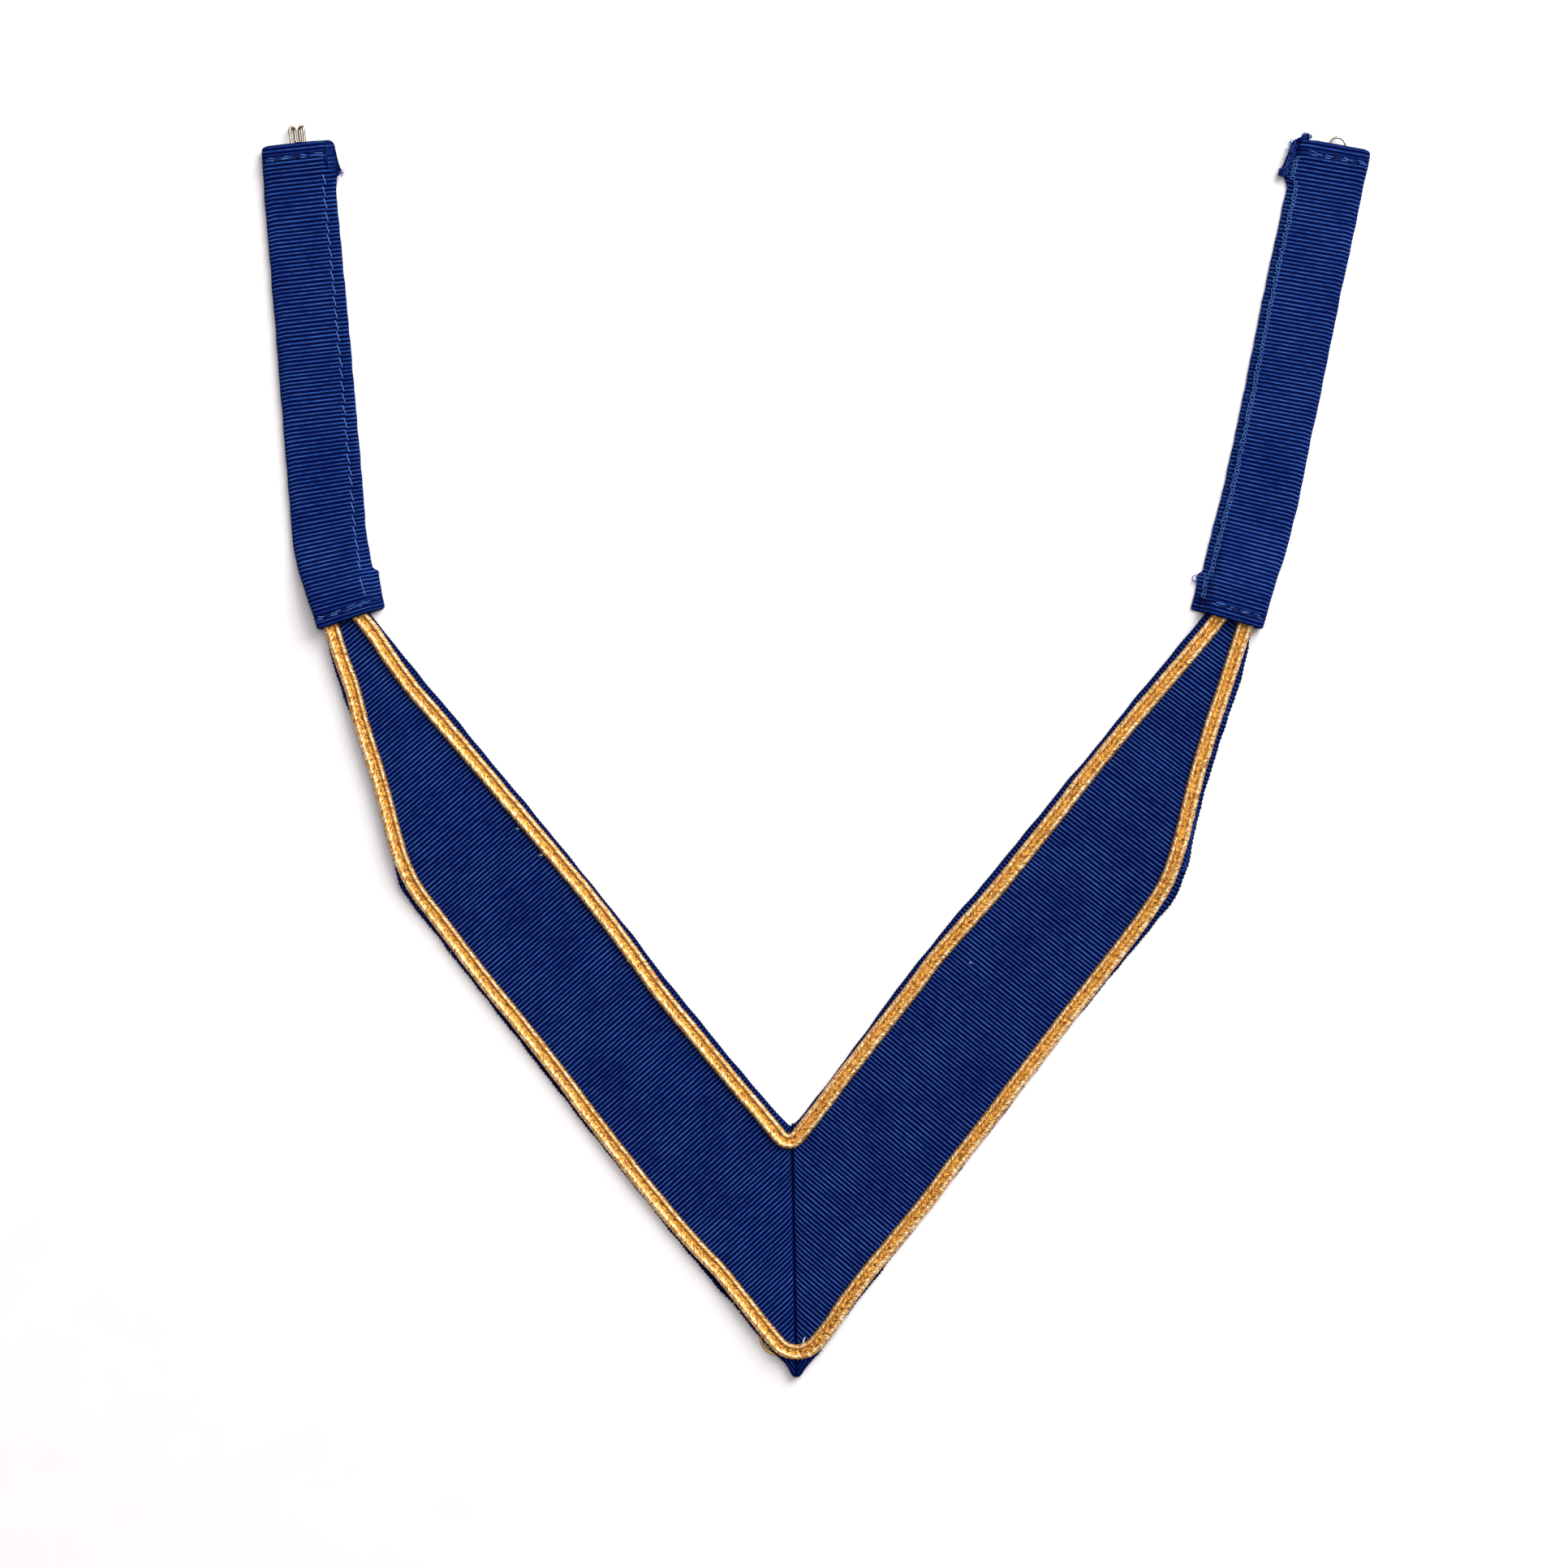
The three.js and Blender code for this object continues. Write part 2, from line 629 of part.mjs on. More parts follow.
// Half of a fitting inside the strap: a sewing loop that runs into a leg at the given offset.
function sewingLoop(legOffset) {
  return Array.from({ length: bendSteps + 1 }, (_, k) => {
    const angle = THREE.MathUtils.lerp(-1.5 * Math.PI, 0, k / bendSteps);
    return [
      legOffset + sewingLoopRadius * (1 - Math.cos(angle)),
      sewingLoopRadius * Math.sin(angle) - sewingLoopDepth,
      wireHeight,
    ];
  });
}

function mirroredPath(half, place) {
  const other = half.map(([offset, beyond, height]) => [-offset, beyond, height]).reverse();
  return [...half, ...other].map((point) => place(...point));
}

// The hook: two legs that turn over at the front and run back below as one narrow bill.
function hook(hand) {
  const leg = hookWidth / 2 - fittingWire / 2;
  const bill = hookGap / 2 + fittingWire / 2;
  const billHeight = fittingWire / 2;
  const turnRadius = Math.hypot(leg - bill, wireHeight - billHeight) / 2;
  const turnStart = hookReach - fittingWire / 2 - turnRadius;
  const turn = Array.from({ length: bendSteps + 1 }, (_, k) => {
    const angle = (k / bendSteps) * Math.PI;
    const share = (1 - Math.cos(angle)) / 2;
    return [
      THREE.MathUtils.lerp(leg, bill, share),
      turnStart + turnRadius * Math.sin(angle),
      THREE.MathUtils.lerp(wireHeight, billHeight, share),
    ];
  });
  const billEnd = fittingWire / 2 + bill;
  const half = [
    ...sewingLoop(leg),
    [leg, turnStart / 2, wireHeight],
    ...turn,
    [bill, billEnd + clearance, billHeight],
    [bill * Math.SQRT1_2, billEnd + bill * (1 - Math.SQRT1_2), billHeight],
  ];
  return wire(mirroredPath(half, fittingPlacer(hand, 0)), fittingWire);
}

// The eye: one round loop on two legs.
function eye(hand) {
  const arc = Array.from({ length: bendSteps }, (_, k) => {
    const angle = (k / bendSteps) * (Math.PI / 2);
    return [eyeRadius * Math.cos(angle), eyeRadius * Math.sin(angle), wireHeight];
  });
  const half = [...sewingLoop(eyeRadius), ...arc];
  return wire(mirroredPath(half, fittingPlacer(hand, eyeOffset)), fittingWire);
}

function jewelRing() {
  const ring = new THREE.TorusGeometry((ringDiameter - ringWire) / 2, ringWire / 2, 8, 32);
  ring.translate(ringPlace.across * ribbonWidth, -ringPlace.down * ribbonWidth, ringWire / 2);
  return closed(ring);
}

// The collar

function piece(name, geometry, look) {
  const mesh = new THREE.Mesh(geometry, new THREE.MeshStandardMaterial(look));
  mesh.name = name;
  return mesh;
}

const collar = new THREE.Group();
collar.add(
  piece('left_front_ribbon', frontRibbon(left), ribbonBlue),
  piece('right_front_ribbon', frontRibbon(right), ribbonBlue),
  piece('inner_braid', braid(leftInnerBraidRows, rightInnerBraidRows, innerTurnRadius), braidGold),
  piece('outer_braid', braid(leftOuterBraidRows, rightOuterBraidRows, outerTurnRadius), braidGold),
  piece('left_strap', strap(left), ribbonBlue),
  piece('right_strap', strap(right), ribbonBlue),
  piece('hook', hook(left), nickelWire),
  piece('eye', eye(right), nickelWire),
  piece('jewel_ring', jewelRing(), brassWire),
);

// The origin is the middle of the collar on the surface that it lies on.
const extent = new THREE.Box3().setFromObject(collar);
const middle = extent.getCenter(new THREE.Vector3());
collar.position.set(-middle.x, -middle.y, -extent.min.z);

export default collar;
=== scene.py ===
# Lodge collar of ribbed ribbon and gold braid, lying flat and seen from straight above.
# Lengths are in millimetres until a mesh is made; x runs to the eye end, y to the neck, z up.
import bpy
import math
import numpy as np
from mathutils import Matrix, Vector


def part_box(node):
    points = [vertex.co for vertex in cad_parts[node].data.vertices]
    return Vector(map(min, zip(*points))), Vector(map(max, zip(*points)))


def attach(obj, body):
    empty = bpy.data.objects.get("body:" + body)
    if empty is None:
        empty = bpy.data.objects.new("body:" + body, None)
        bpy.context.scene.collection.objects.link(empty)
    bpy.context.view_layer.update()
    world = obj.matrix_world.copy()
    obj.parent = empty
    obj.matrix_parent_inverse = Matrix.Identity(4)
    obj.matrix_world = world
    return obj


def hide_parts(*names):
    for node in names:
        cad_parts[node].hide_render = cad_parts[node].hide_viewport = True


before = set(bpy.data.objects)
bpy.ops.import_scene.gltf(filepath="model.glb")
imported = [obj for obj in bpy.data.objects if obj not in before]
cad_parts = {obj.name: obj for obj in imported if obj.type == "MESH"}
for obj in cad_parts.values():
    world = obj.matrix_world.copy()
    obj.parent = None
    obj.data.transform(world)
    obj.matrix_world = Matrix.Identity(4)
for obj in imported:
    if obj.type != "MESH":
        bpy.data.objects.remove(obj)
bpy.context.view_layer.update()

ribbon = dict(
    width=39.0,
    thickness=1.0,
    gap=0.3,            # air between two layers
    ribPitch=1.0,       # one rib of the weave
    ribDepth=0.34,      # crest to groove
    ribSamples=6,       # rows of points for each rib
    edgeRound=0.45,     # how far in the edge starts to round off
)
layerLift = ribbon["thickness"] + ribbon["gap"]
armLength = 178.0       # from the corner of the V to the arm's end inside the strap
seamSlope = math.tan(math.radians(0.95))    # the centre seam leans to the left on its way up

# the ring's middle lies 3.2 mm left of and 51 mm below the inner corner of the V
ringLow, ringHigh = (np.array(corner) * 1000 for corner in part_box("jewel_ring"))
vCorner = (ringLow[:2] + ringHigh[:2]) / 2 + np.array([0.082, 1.308]) * ribbon["width"]

# edges: share of the arm's length, inner edge, outer edge (shares of the ribbon's width)
# ribAngle: distance along the arm, angle of the ribs to the horizontal
# tipAt: where the lowest rib lies, from the corner of the V
# tuck: how far the arm goes into its strap; footInset: the strap's middle line from the corner of the V
# pocketSlope: share of the strap's width over which its upper layer rises from the selvedge
# underShow: how far the under layer shows beside the upper one; footSkew, topSkew: slopes of the cut ends
leftArm = dict(
    side=-1,
    lean=39.35,
    tipAt=-47.9,
    edges=np.array([
        (-0.28, -0.02, 0.984), (-0.262, -0.02, 0.982), (-0.25, -0.02, 0.968), (-0.235, -0.02, 0.974),
        (-0.21, -0.02, 0.982), (-0.18, -0.01, 0.988), (-0.135, -0.005, 0.987), (-0.09, -0.005, 0.996),
        (0.0, 0.0, 1.004), (0.045, 0.01, 0.998), (0.09, 0.016, 0.997), (0.18, 0.016, 0.994),
        (0.27, 0.014, 0.985), (0.36, -0.002, 0.975), (0.45, -0.004, 0.968), (0.54, -0.007, 0.958),
        (0.57, -0.006, 0.955), (0.595, -0.005, 0.949), (0.608, -0.005, 0.938), (0.62, -0.004, 0.917),
        (0.64, -0.003, 0.866), (0.67, -0.003, 0.808), (0.7, -0.003, 0.744), (0.73, -0.003, 0.681),
        (0.76, -0.003, 0.622), (0.79, -0.001, 0.567), (0.82, 0.0, 0.512), (0.865, -0.002, 0.44),
        (0.91, -0.006, 0.36), (0.95, -0.005, 0.25), (1.0, 0.0, 0.13)]),
    ribAngle=np.array([(-50, 42.2), (0, 41.6), (60, 40.8), (110, 40.2), (160, 40.0)]),
    strapLean=6.4, strapLength=118.0, tuck=11.9, footInset=0.108, pocketSlope=0.19,
    underShow=0.0, footSkew=-0.225, topSkew=0.0,
    # share of the strap's length, folded edge, selvedge (shares of the strap's width)
    strapEdges=np.array([
        (0.0, 0.456, -0.452), (0.05, 0.524, -0.436), (0.089, 0.577, -0.424), (0.0925, 0.581, -0.357),
        (0.13, 0.64, -0.336), (0.16, 0.66, -0.325), (0.2, 0.663, -0.325), (0.28, 0.649, -0.346),
        (0.4, 0.624, -0.364), (0.5, 0.606, -0.38), (0.6, 0.583, -0.396), (0.77, 0.552, -0.415),
        (0.9, 0.529, -0.43), (0.925, 0.522, -0.468), (0.95, 0.514, -0.484), (1.0, 0.49, -0.474)]),
    strapRibs=np.array([(0, 16.8), (6, 15.5), (18, 12.6), (34, 9.0), (52, 6.6), (118, 6.4)]),
)
rightArm = dict(
    side=1,
    lean=38.7,
    tipAt=-46.9,
    edges=np.array([
        (-0.28, -0.04, 1.0), (-0.262, -0.035, 1.003), (-0.248, -0.03, 1.005), (-0.236, -0.03, 1.006),
        (-0.215, -0.025, 1.013), (-0.18, -0.02, 1.008), (-0.135, -0.015, 1.0), (-0.09, -0.01, 1.0),
        (0.0, -0.008, 0.996), (0.09, -0.008, 0.987), (0.18, -0.026, 0.985), (0.27, -0.042, 0.972),
        (0.36, -0.04, 0.962), (0.45, -0.027, 0.968), (0.54, -0.023, 0.976), (0.575, -0.022, 0.975),
        (0.59, -0.022, 0.965), (0.6, -0.022, 0.947), (0.62, -0.02, 0.922), (0.64, -0.017, 0.88),
        (0.67, -0.014, 0.802), (0.7, -0.013, 0.741), (0.73, -0.014, 0.684), (0.76, -0.013, 0.628),
        (0.79, -0.012, 0.575), (0.82, -0.01, 0.526), (0.865, -0.006, 0.452), (0.91, -0.003, 0.365),
        (0.95, 0.0, 0.25), (1.0, 0.0, 0.13)]),
    ribAngle=np.array([(-50, 40.6), (0, 39.6), (60, 38.4), (110, 37.2), (160, 36.8)]),
    strapLean=12.6, strapLength=120.0, tuck=13.0, footInset=0.126, pocketSlope=0.12,
    underShow=2.0, footSkew=-0.065, topSkew=0.04,
    strapEdges=np.array([
        (0.0, 0.493, -0.494), (0.034, 0.506, -0.484), (0.06, 0.514, -0.49), (0.079, 0.52, -0.498),
        (0.0825, 0.522, -0.444), (0.15, 0.571, -0.444), (0.2, 0.592, -0.43), (0.26, 0.602, -0.416),
        (0.4, 0.58, -0.42), (0.5, 0.575, -0.432), (0.6, 0.56, -0.446), (0.7, 0.546, -0.46),
        (0.8, 0.541, -0.462), (0.9, 0.535, -0.466), (0.92, 0.526, -0.548), (0.95, 0.523, -0.541),
        (1.0, 0.525, -0.528)]),
    strapRibs=np.array([(0, 16.2), (14, 15.6), (30, 12.7), (46, 10.9), (65, 10.0), (120, 9.7)]),
)
mouthRun = 7.0          # the arms start to rise this far before the strap's mouth
mouthShare = 1 - (max(leftArm["tuck"], rightArm["tuck"]) + mouthRun) / armLength
# share of the arm's length, lift of the inner edge, lift of the outer edge, lift over the ring
armLift = np.array([
    (-0.3, 0, 0, 1), (-0.17, 0, 0, 1), (-0.02, 0, 0, 0), (0.54, 0, 0, 0), (0.62, 0, 1, 0),
    (mouthShare - 0.13, 0, 1, 0), (mouthShare, 1, 1, 0), (1.0, 1, 1, 0)])
pointLift = 1.05        # by the ring below the point
hemWidth = 9.0          # over which the arm slopes down beside its turned edge


# sum of slow sine waves with fixed random phases, about -1 to 1
def wander(x, length, seed):
    rng = np.random.default_rng(seed)
    waves = [(length * f, rng.uniform(0, 6.28)) for f in (1.0, 0.62, 0.37)]
    return sum(np.sin(np.asarray(x) / wave * 6.28 + phase) for wave, phase in waves) / 3


# a column of a table at a place between its rows
def look(table, place, column):
    return np.interp(place, table[:, 0], table[:, column])


# a step that is eased at both ends
def ease(x, start, end):
    share = np.clip((x - start) / (end - start), 0, 1)
    return share * share * (3 - 2 * share)


# running mean of a row of values, so that a table's corners turn softly
def soften(values, count):
    padded = np.pad(values, count, mode="edge")
    return np.convolve(padded, np.ones(2 * count + 1) / (2 * count + 1), mode="valid")


# a side's own directions at a lean: up along the piece and outwards across it
def directions(side, lean):
    angle = math.radians(lean)
    up = np.array([side * math.sin(angle), math.cos(angle)])
    out = np.array([side * math.cos(angle), -math.sin(angle)])
    return up, out


# rings of points joined along rows, with both ends closed; shape (pieces, rows, ring, 3)
def loftFaces(pieces, rows, ring):
    row = np.arange(rows - 1)[:, None] * ring
    column = np.arange(ring)[None, :]
    following = (column + 1) % ring
    side = np.stack([row + column, row + following, row + following + ring, row + column + ring], -1)
    side = side.reshape(-1, 4)
    near = np.arange(ring // 2 - 1)
    cap = np.stack([near, near + 1, ring - 2 - near, ring - 1 - near], -1)
    one = np.concatenate([side, cap[:, ::-1], cap + (rows - 1) * ring])
    return (one[None] + (np.arange(pieces) * rows * ring)[:, None, None]).reshape(-1, 4)


# points in rings to a mesh with smooth faces that point outwards
def loftMesh(name, points, attributes=None, uv=None):
    points = np.asarray(points, float)
    if points.ndim == 3:
        points = points[None]
    pieces, rows, ring, _ = points.shape
    quads = loftFaces(pieces, rows, ring)
    flat = points.reshape(-1, 3)
    a, b, c, d = (flat[quads[:, k]] for k in range(4))
    volume = (a * (np.cross(b, c) + np.cross(c, d))).sum()      # six times what the faces enclose
    if volume < 0:
        quads = quads[:, ::-1]
    mesh = bpy.data.meshes.new(name)
    mesh.vertices.add(len(flat))
    mesh.vertices.foreach_set("co", (flat * 0.001).astype(np.float32).ravel())
    mesh.loops.add(quads.size)
    mesh.loops.foreach_set("vertex_index", quads.astype(np.int32).ravel())
    mesh.polygons.add(len(quads))
    mesh.polygons.foreach_set("loop_start", np.arange(0, quads.size, 4, dtype=np.int32))
    mesh.update(calc_edges=True)
    mesh.shade_smooth()
    for key, values in (attributes or {}).items():
        layer = mesh.attributes.new(key, "FLOAT", "POINT")
        values = np.broadcast_to(values, points.shape[:3]).astype(np.float32)
        layer.data.foreach_set("value", values.ravel())
    if uv is not None:
        layer = mesh.uv_layers.new(name="cloth")
        layer.data.foreach_set("uv", uv.reshape(-1, 2)[quads.ravel()].astype(np.float32).ravel())
    piece = bpy.data.objects.new(name, mesh)
    bpy.context.scene.collection.objects.link(piece)
    return piece


# hands a finished piece to the frame
def place(piece, material, slotName, nodes=()):
    piece.data.materials.append(material)
    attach(piece, "root")
    if nodes:
        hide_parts(*nodes)
    return piece


# tubes round lines of points, shape (threads, points, 3): a circle set square to each line
def tubePoints(lines, radius, sides):
    lines = np.asarray(lines, float)
    along = np.gradient(lines, axis=1)
    along /= np.linalg.norm(along, axis=2, keepdims=True) + 1e-9
    helper = np.where(np.abs(along[..., 2:]) > 0.8, np.array([1.0, 0, 0]), np.array([0, 0, 1.0]))
    across = np.cross(along, helper)
    across /= np.linalg.norm(across, axis=2, keepdims=True)
    over = np.cross(across, along)
    angle = np.arange(sides) / sides * 2 * np.pi
    circle = np.cos(angle)[:, None] * across[:, :, None] + np.sin(angle)[:, None] * over[:, :, None]
    return lines[:, :, None] + np.asarray(radius)[..., None, None] * circle


# a line drawn smoothly through its points and read off at even steps
def smoothPath(points, count):
    points = np.asarray(points, float)
    knots = np.concatenate([[0], np.cumsum(np.sqrt(np.linalg.norm(np.diff(points, axis=0), axis=1)))])
    before = np.vstack([2 * points[0] - points[1], points[:-1]])
    after = np.vstack([points[1:], 2 * points[-1] - points[-2]])
    stepBefore = np.diff(knots, prepend=knots[0] - (knots[1] - knots[0]))[:, None]
    stepAfter = np.diff(knots, append=knots[-1] + (knots[-1] - knots[-2]))[:, None]
    slope = ((points - before) / stepBefore - (after - before) / (stepBefore + stepAfter)
             + (after - points) / stepAfter)
    between = 60        # points that are worked out for each stretch
    t = np.linspace(0, 1, between, endpoint=False)[None, :, None]
    h = np.diff(knots)[:, None, None]
    curve = ((2 * t**3 - 3 * t**2 + 1) * points[:-1, None] + (t**3 - 2 * t**2 + t) * h * slope[:-1, None]
             + (3 * t**2 - 2 * t**3) * points[1:, None] + (t**3 - t**2) * h * slope[1:, None])
    curve = np.vstack([curve.reshape(-1, points.shape[1]), points[-1:]])
    walked = np.concatenate([[0], np.cumsum(np.linalg.norm(np.diff(curve, axis=0), axis=1))])
    if isinstance(count, float):
        count = int(round(walked[-1] / count)) + 1
    even = np.linspace(0, walked[-1], count)
    return np.stack([np.interp(even, walked, curve[:, k]) for k in range(points.shape[1])], -1), walked[-1]


# an sRGB hex colour as linear numbers
def linear(hexColour):
    parts = [int(hexColour[k:k + 2], 16) / 255 for k in (1, 3, 5)]
    return tuple(c / 12.92 if c <= 0.04045 else ((c + 0.055) / 1.055) ** 2.4 for c in parts) + (1.0,)


# adds a node, sets its settings, and links or fills its sockets
def add(tree, kind, sockets=None, stops=None, **settings):
    made = tree.nodes.new("ShaderNode" + kind)
    for key, value in settings.items():
        setattr(made, key, value)
    for key, value in (sockets or {}).items():
        if isinstance(value, bpy.types.NodeSocket):
            tree.links.new(value, made.inputs[key])
        else:
            made.inputs[key].default_value = value
    for k, (position, hexColour) in enumerate(stops or []):
        element = made.color_ramp.elements[k] if k < 2 else made.color_ramp.elements.new(position)
        element.position = position
        element.color = linear(hexColour)
    return made


# a material with an empty tree
def newMaterial(name):
    material = bpy.data.materials.new(name)
    material.use_nodes = True
    tree = material.node_tree
    tree.nodes.clear()
    return material, tree


# closes a tree with its surface shader
def finishMaterial(tree, **sockets):
    shader = add(tree, "BsdfPrincipled", {key.replace("_", " "): value for key, value in sockets.items()})
    add(tree, "OutputMaterial", {"Surface": shader.outputs[0]})


# Rayon grosgrain: fine warp threads packed over a thick filling cord. Each crest carries a thin pale line
# of painted highlight, the flanks are royal blue and the grooves are painted near black as shade.
grosgrainLook = dict(
    # groove is painted shade and crest a painted highlight, with flank and shoulder between them
    groove="#000230", flank="#041852", shoulder="#0f2e76", crest="#3d65a8",
    warpThread=0.16,    # mm between warp threads
    streak=2.2,         # mm length of pale and dark stretches on a crest
    streakTone=0.42, warpTone=0.22, patchTone=0.3,      # how much each pattern changes the tone
    roughness=0.7, specular=0.03,
)


def grosgrain():
    material, tree = newMaterial("grosgrain")
    rib = add(tree, "Attribute", attribute_name="rib").outputs["Fac"]
    cloth = add(tree, "UVMap", uv_map="cloth").outputs["UV"]
    # uv holds millimetres / 100: x across the ribbon, y along it, so a streak is about half a rib high and
    # a warp thread's pale stretch is 1.7 mm long
    streakMap = add(tree, "Mapping", {"Vector": cloth, "Scale": (100 / grosgrainLook["streak"], 180, 1)})
    streak = add(tree, "TexNoise", {"Vector": streakMap.outputs[0], "Scale": 1.0, "Detail": 2.0})
    warpMap = add(tree, "Mapping", {"Vector": cloth, "Scale": (100 / grosgrainLook["warpThread"], 60, 1)})
    warp = add(tree, "TexNoise", {"Vector": warpMap.outputs[0], "Scale": 1.0, "Detail": 1.0})
    patch = add(tree, "TexNoise", {"Vector": cloth, "Scale": 9.0, "Detail": 2.0})
    lively, threads, broad = (
        add(tree, "Math", {0: noise.outputs["Fac"], 1: tone, 2: -tone / 2}, operation="MULTIPLY_ADD")
        for noise, tone in ((streak, grosgrainLook["streakTone"]), (warp, grosgrainLook["warpTone"]),
                            (patch, grosgrainLook["patchTone"])))
    both = add(tree, "Math", {0: lively.outputs[0], 1: threads.outputs[0]}, operation="ADD")
    every = add(tree, "Math", {0: both.outputs[0], 1: broad.outputs[0]}, operation="ADD")
    shaped = add(tree, "Math", {0: rib, 1: every.outputs[0], 2: rib}, operation="MULTIPLY_ADD")
    # from painted shade in the grooves up to a painted highlight on the crests
    colour = add(tree, "ValToRGB", {"Fac": shaped.outputs[0]}, stops=[
        (0.12, grosgrainLook["groove"]), (1.02, grosgrainLook["crest"]),
        (0.5, grosgrainLook["flank"]), (0.82, grosgrainLook["shoulder"])])
    bump = add(tree, "Bump", {"Height": warp.outputs["Fac"], "Strength": 0.35, "Distance": 0.00008})
    finishMaterial(tree, Base_Color=colour.outputs[0], Roughness=grosgrainLook["roughness"],
                   Specular_IOR_Level=grosgrainLook["specular"], Normal=bump.outputs[0])
    return material


# Gold russia braid: cotton cords wrapped with flat gilt thread, two rounded ridges and a flat band between
# them. Turns of thread slant across each ridge with painted cream glints and painted highlight on the tops;
# the band is deep orange and the gaps between turns are painted darker as shade.
braidLook = dict(
    # gap and side are painted shade between the turns and down the ridges' sides, glint is a painted glint
    gap="#8c5420", side="#c48844", body="#e8b464", glint="#fff2c8",
    bandDark="#7a3e08", bandMiddle="#dc942a", bandBright="#ffcc60",
    turnLength=1.0,     # painted glints for each mm along a turn of thread
    roughness=0.4, metallic=0.5,
)


def goldBraid():
    material, tree = newMaterial("giltThread")
    turns, across, ridge, band = (add(tree, "Attribute", attribute_name=key).outputs["Fac"]
                                  for key in ("turns", "across", "ridge", "band"))
    angle = add(tree, "Math", {0: turns, 1: 2 * math.pi}, operation="MULTIPLY")
    wave = add(tree, "Math", {0: angle.outputs[0]}, operation="COSINE")
    out = add(tree, "Math", {0: across}, operation="ABSOLUTE")
    along = add(tree, "Math", {0: out.outputs[0], 1: braidLook["turnLength"]}, operation="MULTIPLY")
    onRight = add(tree, "Math", {0: across, 1: 0.0}, operation="GREATER_THAN")
    apart = add(tree, "Math", {0: onRight.outputs[0], 1: 7.0}, operation="MULTIPLY")
    where = add(tree, "CombineXYZ", {"X": turns, "Y": along.outputs[0], "Z": apart.outputs[0]})
    glints = add(tree, "TexNoise", {"Vector": where.outputs[0], "Scale": 1.1, "Detail": 3.0,
                                    "Roughness": 0.65})
    tone = add(tree, "Math", {0: glints.outputs["Fac"], 1: 2.5, 2: -0.84}, operation="MULTIPLY_ADD")
    # turn crests and ridge tops are painted lighter as highlight, gaps between turns and ridge sides darker
    # as shade
    tone = add(tree, "Math", {0: wave.outputs[0], 1: 0.1, 2: tone.outputs[0]}, operation="MULTIPLY_ADD")
    onRidge = add(tree, "Math", {0: ridge, 1: 0.34, 2: tone.outputs[0]}, operation="MULTIPLY_ADD")
    onBand = add(tree, "Math", {0: tone.outputs[0], 1: 0.12}, operation="ADD")
    ridgeColour = add(tree, "ValToRGB", {"Fac": onRidge.outputs[0]}, stops=[
        (0.25, braidLook["gap"]), (1.0, braidLook["glint"]),
        (0.5, braidLook["side"]), (0.76, braidLook["body"])])
    bandColour = add(tree, "ValToRGB", {"Fac": onBand.outputs[0]}, stops=[
        (0.25, braidLook["bandDark"]), (0.95, braidLook["bandBright"]), (0.58, braidLook["bandMiddle"])])
    # of a Mix node's sockets, 6 and 7 are its two colours and output 2 is the mixed one
    colour = add(tree, "Mix", {0: band, 6: ridgeColour.outputs[0], 7: bandColour.outputs[0]},
                 data_type="RGBA")
    bump = add(tree, "Bump", {"Height": tone.outputs[0], "Strength": 0.35, "Distance": 0.0001})
    finishMaterial(tree, Base_Color=colour.outputs[2], Metallic=braidLook["metallic"],
                   Roughness=braidLook["roughness"], Normal=bump.outputs[0])
    return material


# Sewing thread and loose fibres: spun polyester, matt, a little paler than the ribbon.
def spunThread(name, hexColour, paler):
    material, tree = newMaterial(name)
    where = add(tree, "TexCoord").outputs["Object"]
    twist = add(tree, "TexNoise", {"Vector": where, "Scale": 3000.0, "Detail": 1.0})
    colour = add(tree, "ValToRGB", {"Fac": twist.outputs["Fac"]}, stops=[(0.3, hexColour), (0.7, paler)])
    bump = add(tree, "Bump", {"Height": twist.outputs["Fac"], "Strength": 0.5, "Distance": 0.00005})
    finishMaterial(tree, Base_Color=colour.outputs[0], Roughness=0.8, Specular_IOR_Level=0.15,
                   Normal=bump.outputs[0])
    return material


# Drawn wire, plated: smooth along its length, painted light on top and painted shade down its sides, with
# the faint stains of handling.
def drawnWire(name, litTop, shadedSide, roughness):
    material, tree = newMaterial(name)
    where = add(tree, "TexCoord").outputs["Object"]
    paintedLight = add(tree, "Attribute", attribute_name="paintedLight").outputs["Fac"]
    stain = add(tree, "TexNoise", {"Vector": where, "Scale": 900.0, "Detail": 3.0})
    tone = add(tree, "Math", {0: stain.outputs["Fac"], 1: 0.5, 2: paintedLight}, operation="MULTIPLY_ADD")
    colour = add(tree, "ValToRGB", {"Fac": tone.outputs[0]}, stops=[(0.62, shadedSide), (1.18, litTop)])
    rough = add(tree, "Math", {0: stain.outputs["Fac"], 1: 0.2, 2: roughness - 0.1},
                operation="MULTIPLY_ADD")
    finishMaterial(tree, Base_Color=colour.outputs[0], Metallic=1.0, Roughness=rough.outputs[0])
    return material


ribbonMaterial = grosgrain()
braidMaterial = goldBraid()
paleThread = spunThread("paleBlueThread", "#2c59a2", "#648ccc")
navyThread = spunThread("navyThread", "#03083a", "#1a2c6c")
fibreMaterial = spunThread("ribbonFibre", "#0d2a74", "#2f55a6")
whiteThread = spunThread("whiteThread", "#d8d4cc", "#ffffff")
holeThread = spunThread("darkStitch", "#1c120a", "#43301e")
loopThread = spunThread("loopThread", "#1f4a98", "#5a86c6")
giltFibre = spunThread("giltFibre", "#ecca88", "#fff6dc")
# each wire: colour of its painted lit top, colour of its painted shaded sides, roughness
bronzeWire = drawnWire("bronzeWire", "#c9b69c", "#1c1008", 0.2)
nickelWire = drawnWire("nickelWire", "#a9a6a8", "#241a22", 0.22)
giltWire = drawnWire("giltWire", "#f2c468", "#8a5c18", 0.34)
print("materials made")


